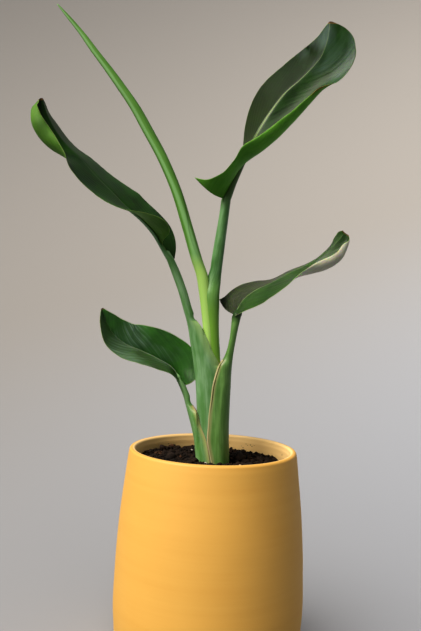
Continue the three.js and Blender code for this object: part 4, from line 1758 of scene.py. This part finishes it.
LOWER_RIGHT_BLADE = (
    (
        (15, -6, 305), (24, -9, 320), (35, -11, 329), (47, -13, 335), (64, -16, 345), (80, -19, 353),
        (92, -22, 361), (101, -25, 370), (107, -27, 377), (110.5, -28, 381.5),
    ),
    (
        (0, 26, -42, -46, 0.15), (0.05, 23, -46, -50, 0.08), (0.12, 23.5, -55, -59, 0.02),
        (0.2, 27.8, -68, -72, 0), (0.35, 28, -83, -87, 0.1), (0.55, 27, -86, -89, 0.15),
        (0.75, 20, -87, -88, 0.15), (0.9, 12, -76, -76, 0.2), (0.97, 6, -40, -40, 0.2), (1, 2.5, 0, 0, 0.2),
    ),
    (
        (0, 4, 66, 85, -0.2), (0.05, 11, 64, 82, -0.2), (0.13, 19, 56, 72, -0.1), (0.25, 25, 55, 67, 0),
        (0.38, 28, 64, 76, 0.08), (0.5, 30, 68, 90, 0.1), (0.62, 33, 56, 140, 0.12),
        (0.75, 36, 36, 194, 0.12), (0.86, 31, 22, 197, 0.12), (0.94, 19, 10, 190, 0.12), (1, 4, 0, 60, 0.2),
    ),
)

UPPER_LEFT_BLADE = (
    (
        (-44.9, -4, 353.8), (-50.6, -4, 363), (-59.8, -5, 377), (-72.6, -6, 390), (-86, -8, 400),
        (-101, -10, 414), (-116, -12, 428), (-130, -13, 443), (-144, -14, 455), (-155, -15, 469),
        (-162, -16, 483), (-166, -17, 495),
    ),
    (
        (0, 1, 100, 110, 0), (0.09, 3, 100, 120, 0), (0.12, 16, 108, 152, -0.35),
        (0.17, 28, 104, 148, -0.5), (0.25, 34, 92, 118, -0.25), (0.36, 37, 74, 88, 0),
        (0.5, 37, 66, 74, 0.1), (0.62, 37, 66, 80, 0.1), (0.7, 38, 52, 138, 0.1),
        (0.78, 42.5, 36, 202, 0.12), (0.88, 39.5, 29, 214, 0.1), (0.95, 24, 19, 206, 0.1),
        (0.985, 8, 0, 190, 0.15), (1, 0.8, 0, 60, 0.2),
    ),
    (
        (0, 5.5, -45, -50, 0), (0.06, 16, -48, -52, -0.2), (0.14, 26, -53, -57, -0.1),
        (0.25, 32, -58, -63, 0), (0.33, 35, -58, -62, 0.05), (0.42, 36, -65, -69, 0.1),
        (0.55, 36, -72, -76, 0.15), (0.75, 32, -79, -83, 0.2), (0.88, 22, -82, -86, 0.3),
        (0.95, 9.5, -85, -90, 0.4), (1, 1, -75, -75, 0.4),
    ),
)

UPPER_RIGHT_BLADE = (
    (
        (4, 2, 412.2), (9, 3, 427), (17, 6, 446), (29, 9, 472), (43, 11, 497), (57, 10, 516), (70, 8, 528),
        (80, 5, 538), (88, 2, 548), (93, 0, 563), (95, 0, 580),
    ),
    (
        (0, 12, -95, -100, -0.4), (0.06, 22, -95, -98, -0.3), (0.14, 30, -93, -96, -0.1),
        (0.25, 33, -86, -88, 0), (0.32, 34, -76, -78, 0.05), (0.39, 35, -65, -68, 0.1),
        (0.5, 37, -51, -54, 0.15), (0.62, 37, -45, -48, 0.2), (0.75, 33, -44, -48, 0.25),
        (0.87, 21, -46, -50, 0.35), (0.95, 10, -50, -54, 0.4), (1, 1, -45, -50, 0.4),
    ),
    (
        (0, 38, 140, 178, 0.26), (0.025, 29, 128, 160, 0.15), (0.055, 25, 112, 128, 0.36),
        (0.1, 29, 93, 120, 0.42), (0.16, 36, 75, 143, 0.42), (0.24, 43, 46, 168, 0.28),
        (0.34, 46, 25, 174, 0.22), (0.5, 46.5, 10, 160, 0.15), (0.62, 44, 6, 150, 0.1),
        (0.73, 38, 8, 125, 0.05), (0.81, 32, 5, 60, 0), (0.9, 28, 0, 20, 0), (0.955, 20, 0, 15, 0),
        (0.983, 11, 0, 10, 0.1), (1, 1.5, 0, 10, 0.2),
    ),
)

SLIVERS = {
    "short": (1.1, ((13.5, -19, -0.6), (15, -20.5, 0.5), (16.5, -21.5, 1.1))),
    "curved": (0.9, ((25, -15, -0.8), (26.4, -12, 0.7), (25.4, -8, 1), (22.6, -5, -0.3))),
}


@dataclass
class Plant:
    """The whole fan: the spear in the middle, the stalks that clasp it, and a blade on each."""

    spear: Spear
    stalks: Sequence[Stalk]
    blades: Sequence[Blade]
    level_mm: float = 1.0

    def build(self) -> None:
        """Builds from the inside out, so that each sheath lies on all that is inside it."""
        tallest = max(stalk.rows[-1][0] for stalk in self.stalks)
        levels = np.arange(STALK_FOOT, tallest, self.level_mm)
        made = [self.spear.build(levels)]
        for stalk in self.stalks:
            made.append(stalk.build(levels, made))
        for blade in self.blades:
            blade.build()


def make_plant() -> Plant:
    """Puts the plant's sizes, finishes and marks together.

    Returns:
        The plant, ready to build.
    """
    # On the spear the hem colour draws the paler stripe down its front left: partly waxy bloom, partly a
    # painted highlight
    young = StalkSkin(
        "young_rolled_leaf", flesh="#4d7a30", bloom="#5b8a3c", shade="#37611f", hem="#74a063", hem_mm=1.9,
        hem_soft_mm=0.8, drying_mm=0.1, young="#a2c868", young_top_mm=352, young_fade_mm=16, roughness=0.36,
    )
    yellow_footed = StalkSkin(
        "waxy_stalk_yellow_at_its_foot", flesh="#406936", bloom="#67915f", shade="#2a5020", young="#709e34",
        young_top_mm=318, young_fade_mm=50, olive_and_shade_from_mm=402,
    )
    clear_hemmed = StalkSkin(
        "waxy_stalk_with_clear_hem", flesh="#527e45", bloom="#7a9d74", hem="#a3b184", hem_mm=0.3,
        drying="#8ba869", drying_mm=9.0,
    )
    # Its darker top, from 297 mm up, is painted shadow under its blade
    dry_hemmed = StalkSkin(
        "waxy_stalk_with_dry_hem", flesh="#4b7133", bloom="#668c4d", shade="#27461b", hem="#bba688",
        hem_mm=0.35, crease_mm=1.5, drying="#949066", drying_mm=4.2, drying_share=0.75, olive_and_shade="#24401a",
        olive_and_shade_from_mm=297, olive_and_shade_fade_mm=7,
    )
    tan_hemmed = StalkSkin(
        "waxy_stalk_with_tan_hem", hem="#bca27e", hem_mm=0.5, drying="#a3a062", drying_mm=4.5,
    )
    # Lighter greens, partly the lowest blade's own tone and partly painted light on a blade turned to the
    # light; its pale sheen is a painted highlight and its grey far tones a painted reflection
    old_painted_lit = BladeSkin(
        "glossy_leaf_blade_old_painted_lit", upper="#356a22", upper_deep="#204618", sheen="#748f7a", sheen_share=0.8,
        sheen_at_mm=(46.0, 34.0), sheen_between=0.3, far="#434f39", far_top_painted_light="#344a29", far_painted_share=0.6,
        rib="#94a487", specular=0.34,
    )
    # The grey far tone is a painted reflection, and the very pale under colours are painted light in shade
    rolled = BladeSkin(
        "glossy_leaf_blade_rolled", upper="#2f4e1e", upper_deep="#1e3917", far="#363a2b", far_painted_share=0.8,
        under="#bcbba8", under_deep="#9f9d8b", rib="#7d9862", specular=0.2,
    )
    shaded = BladeSkin(
        "glossy_leaf_blade_shaded", upper="#244817", upper_deep="#14300f", sheen="#252d17", under="#537a2e",
        under_deep="#426526", rib="#55703f", edge_share=0.45, specular=0.13,
    )
    # Dark far tones are painted shade, the pale sheen streaks a painted highlight, and the under colours are
    # lifted in part as painted light where the lobe lies in shade
    fresh = BladeSkin(
        "glossy_leaf_blade_young", upper="#214314", upper_deep="#13290c", far="#242c19", far_top_painted_light="#101d07",
        far_painted_share=0.8, far_end_mm=132.0, sheen="#586e62", sheen_share=0.72, sheen_at_mm=(174.0, 30.0),
        sheen_between=0.75, under="#5e9434", under_deep="#4b7f27", edge_share=0.3, specular=0.15,
    )
    stalks = {
        key: Stalk(f"stalk_{key}", f"leaf_stalk_{key}", side, rows, finish)
        for key, side, rows, finish in (
            ("upper_right", FreeSide.NONE, UPPER_RIGHT_ROWS, yellow_footed),
            ("upper_left", FreeSide.RIGHT, UPPER_LEFT_ROWS, clear_hemmed),
            ("lower_right", FreeSide.LEFT, LOWER_RIGHT_ROWS, dry_hemmed),
            ("lower_left", FreeSide.RIGHT, LOWER_LEFT_ROWS, tan_hemmed),
        )
    }
    tip, torn_edge = DryPatch(0.985, 1.0, 0, 30.0), DryPatch(0.6, 0.82, 1, 2.5, 0.6)
    old_tip, rolled_tip = DryPatch(0.982, 1.0, 0, 30.0), DryPatch(0.99, 1.0, 0, 30.0)
    blades = [
        Blade(f"blade_{key}", f"leaf_blade_{key}", stalks[key], *sheet, seed, patches, skin, bulge)
        for key, sheet, seed, patches, skin, bulge in (
            ("lower_left", LOWER_LEFT_BLADE, 1.3, [old_tip], old_painted_lit, (1.0, 1.0)),
            ("lower_right", LOWER_RIGHT_BLADE, 2.9, [rolled_tip], rolled, (2.0, 0.5)),
            ("upper_left", UPPER_LEFT_BLADE, 4.1, [old_tip], shaded, (1.0, 1.0)),
            ("upper_right", UPPER_RIGHT_BLADE, 6.7, [tip, torn_edge], fresh, (0.0, 2.8)),
        )
    ]
    return Plant(Spear(SPEAR_ROWS, young), list(stalks.values()), blades)


def dress_rootstock(frame: dict) -> None:
    """Gives the hidden rootstock, which keeps the frame's own shape, its root finish.
    """
    tones = {"dark": "#a68d5f", "light": "#cdb98c"}
    root = Crumb("fleshy_root_skin", **tones, grain_mm=2.5, relief_mm=0.3, roughness=0.7)
    piece = frame["nodes"]["rootstock"]
    piece.data.materials.clear()
    piece.data.materials.append(root.material())


def main() -> None:
    """Builds the scene in order."""
    logging.basicConfig(level=logging.INFO, format="%(message)s")
    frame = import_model()
    Camera().build()
    Studio().build()
    pot = Pot()
    pot.build(MatteGlaze().material())
    Soil(pot).build()
    make_plant().build()
    dry_root = Crumb("dry_root_end", dark="#b7a27b", light="#e0d2b0", grain_mm=0.7, relief_mm=0.15)
    material = dry_root.material()
    for key, (radius, path) in SLIVERS.items():
        Sliver(f"sliver_{key}", f"root_sliver_{key}", radius, path).build(material)
    dress_rootstock(frame)


if __name__ == "__main__":
    main()
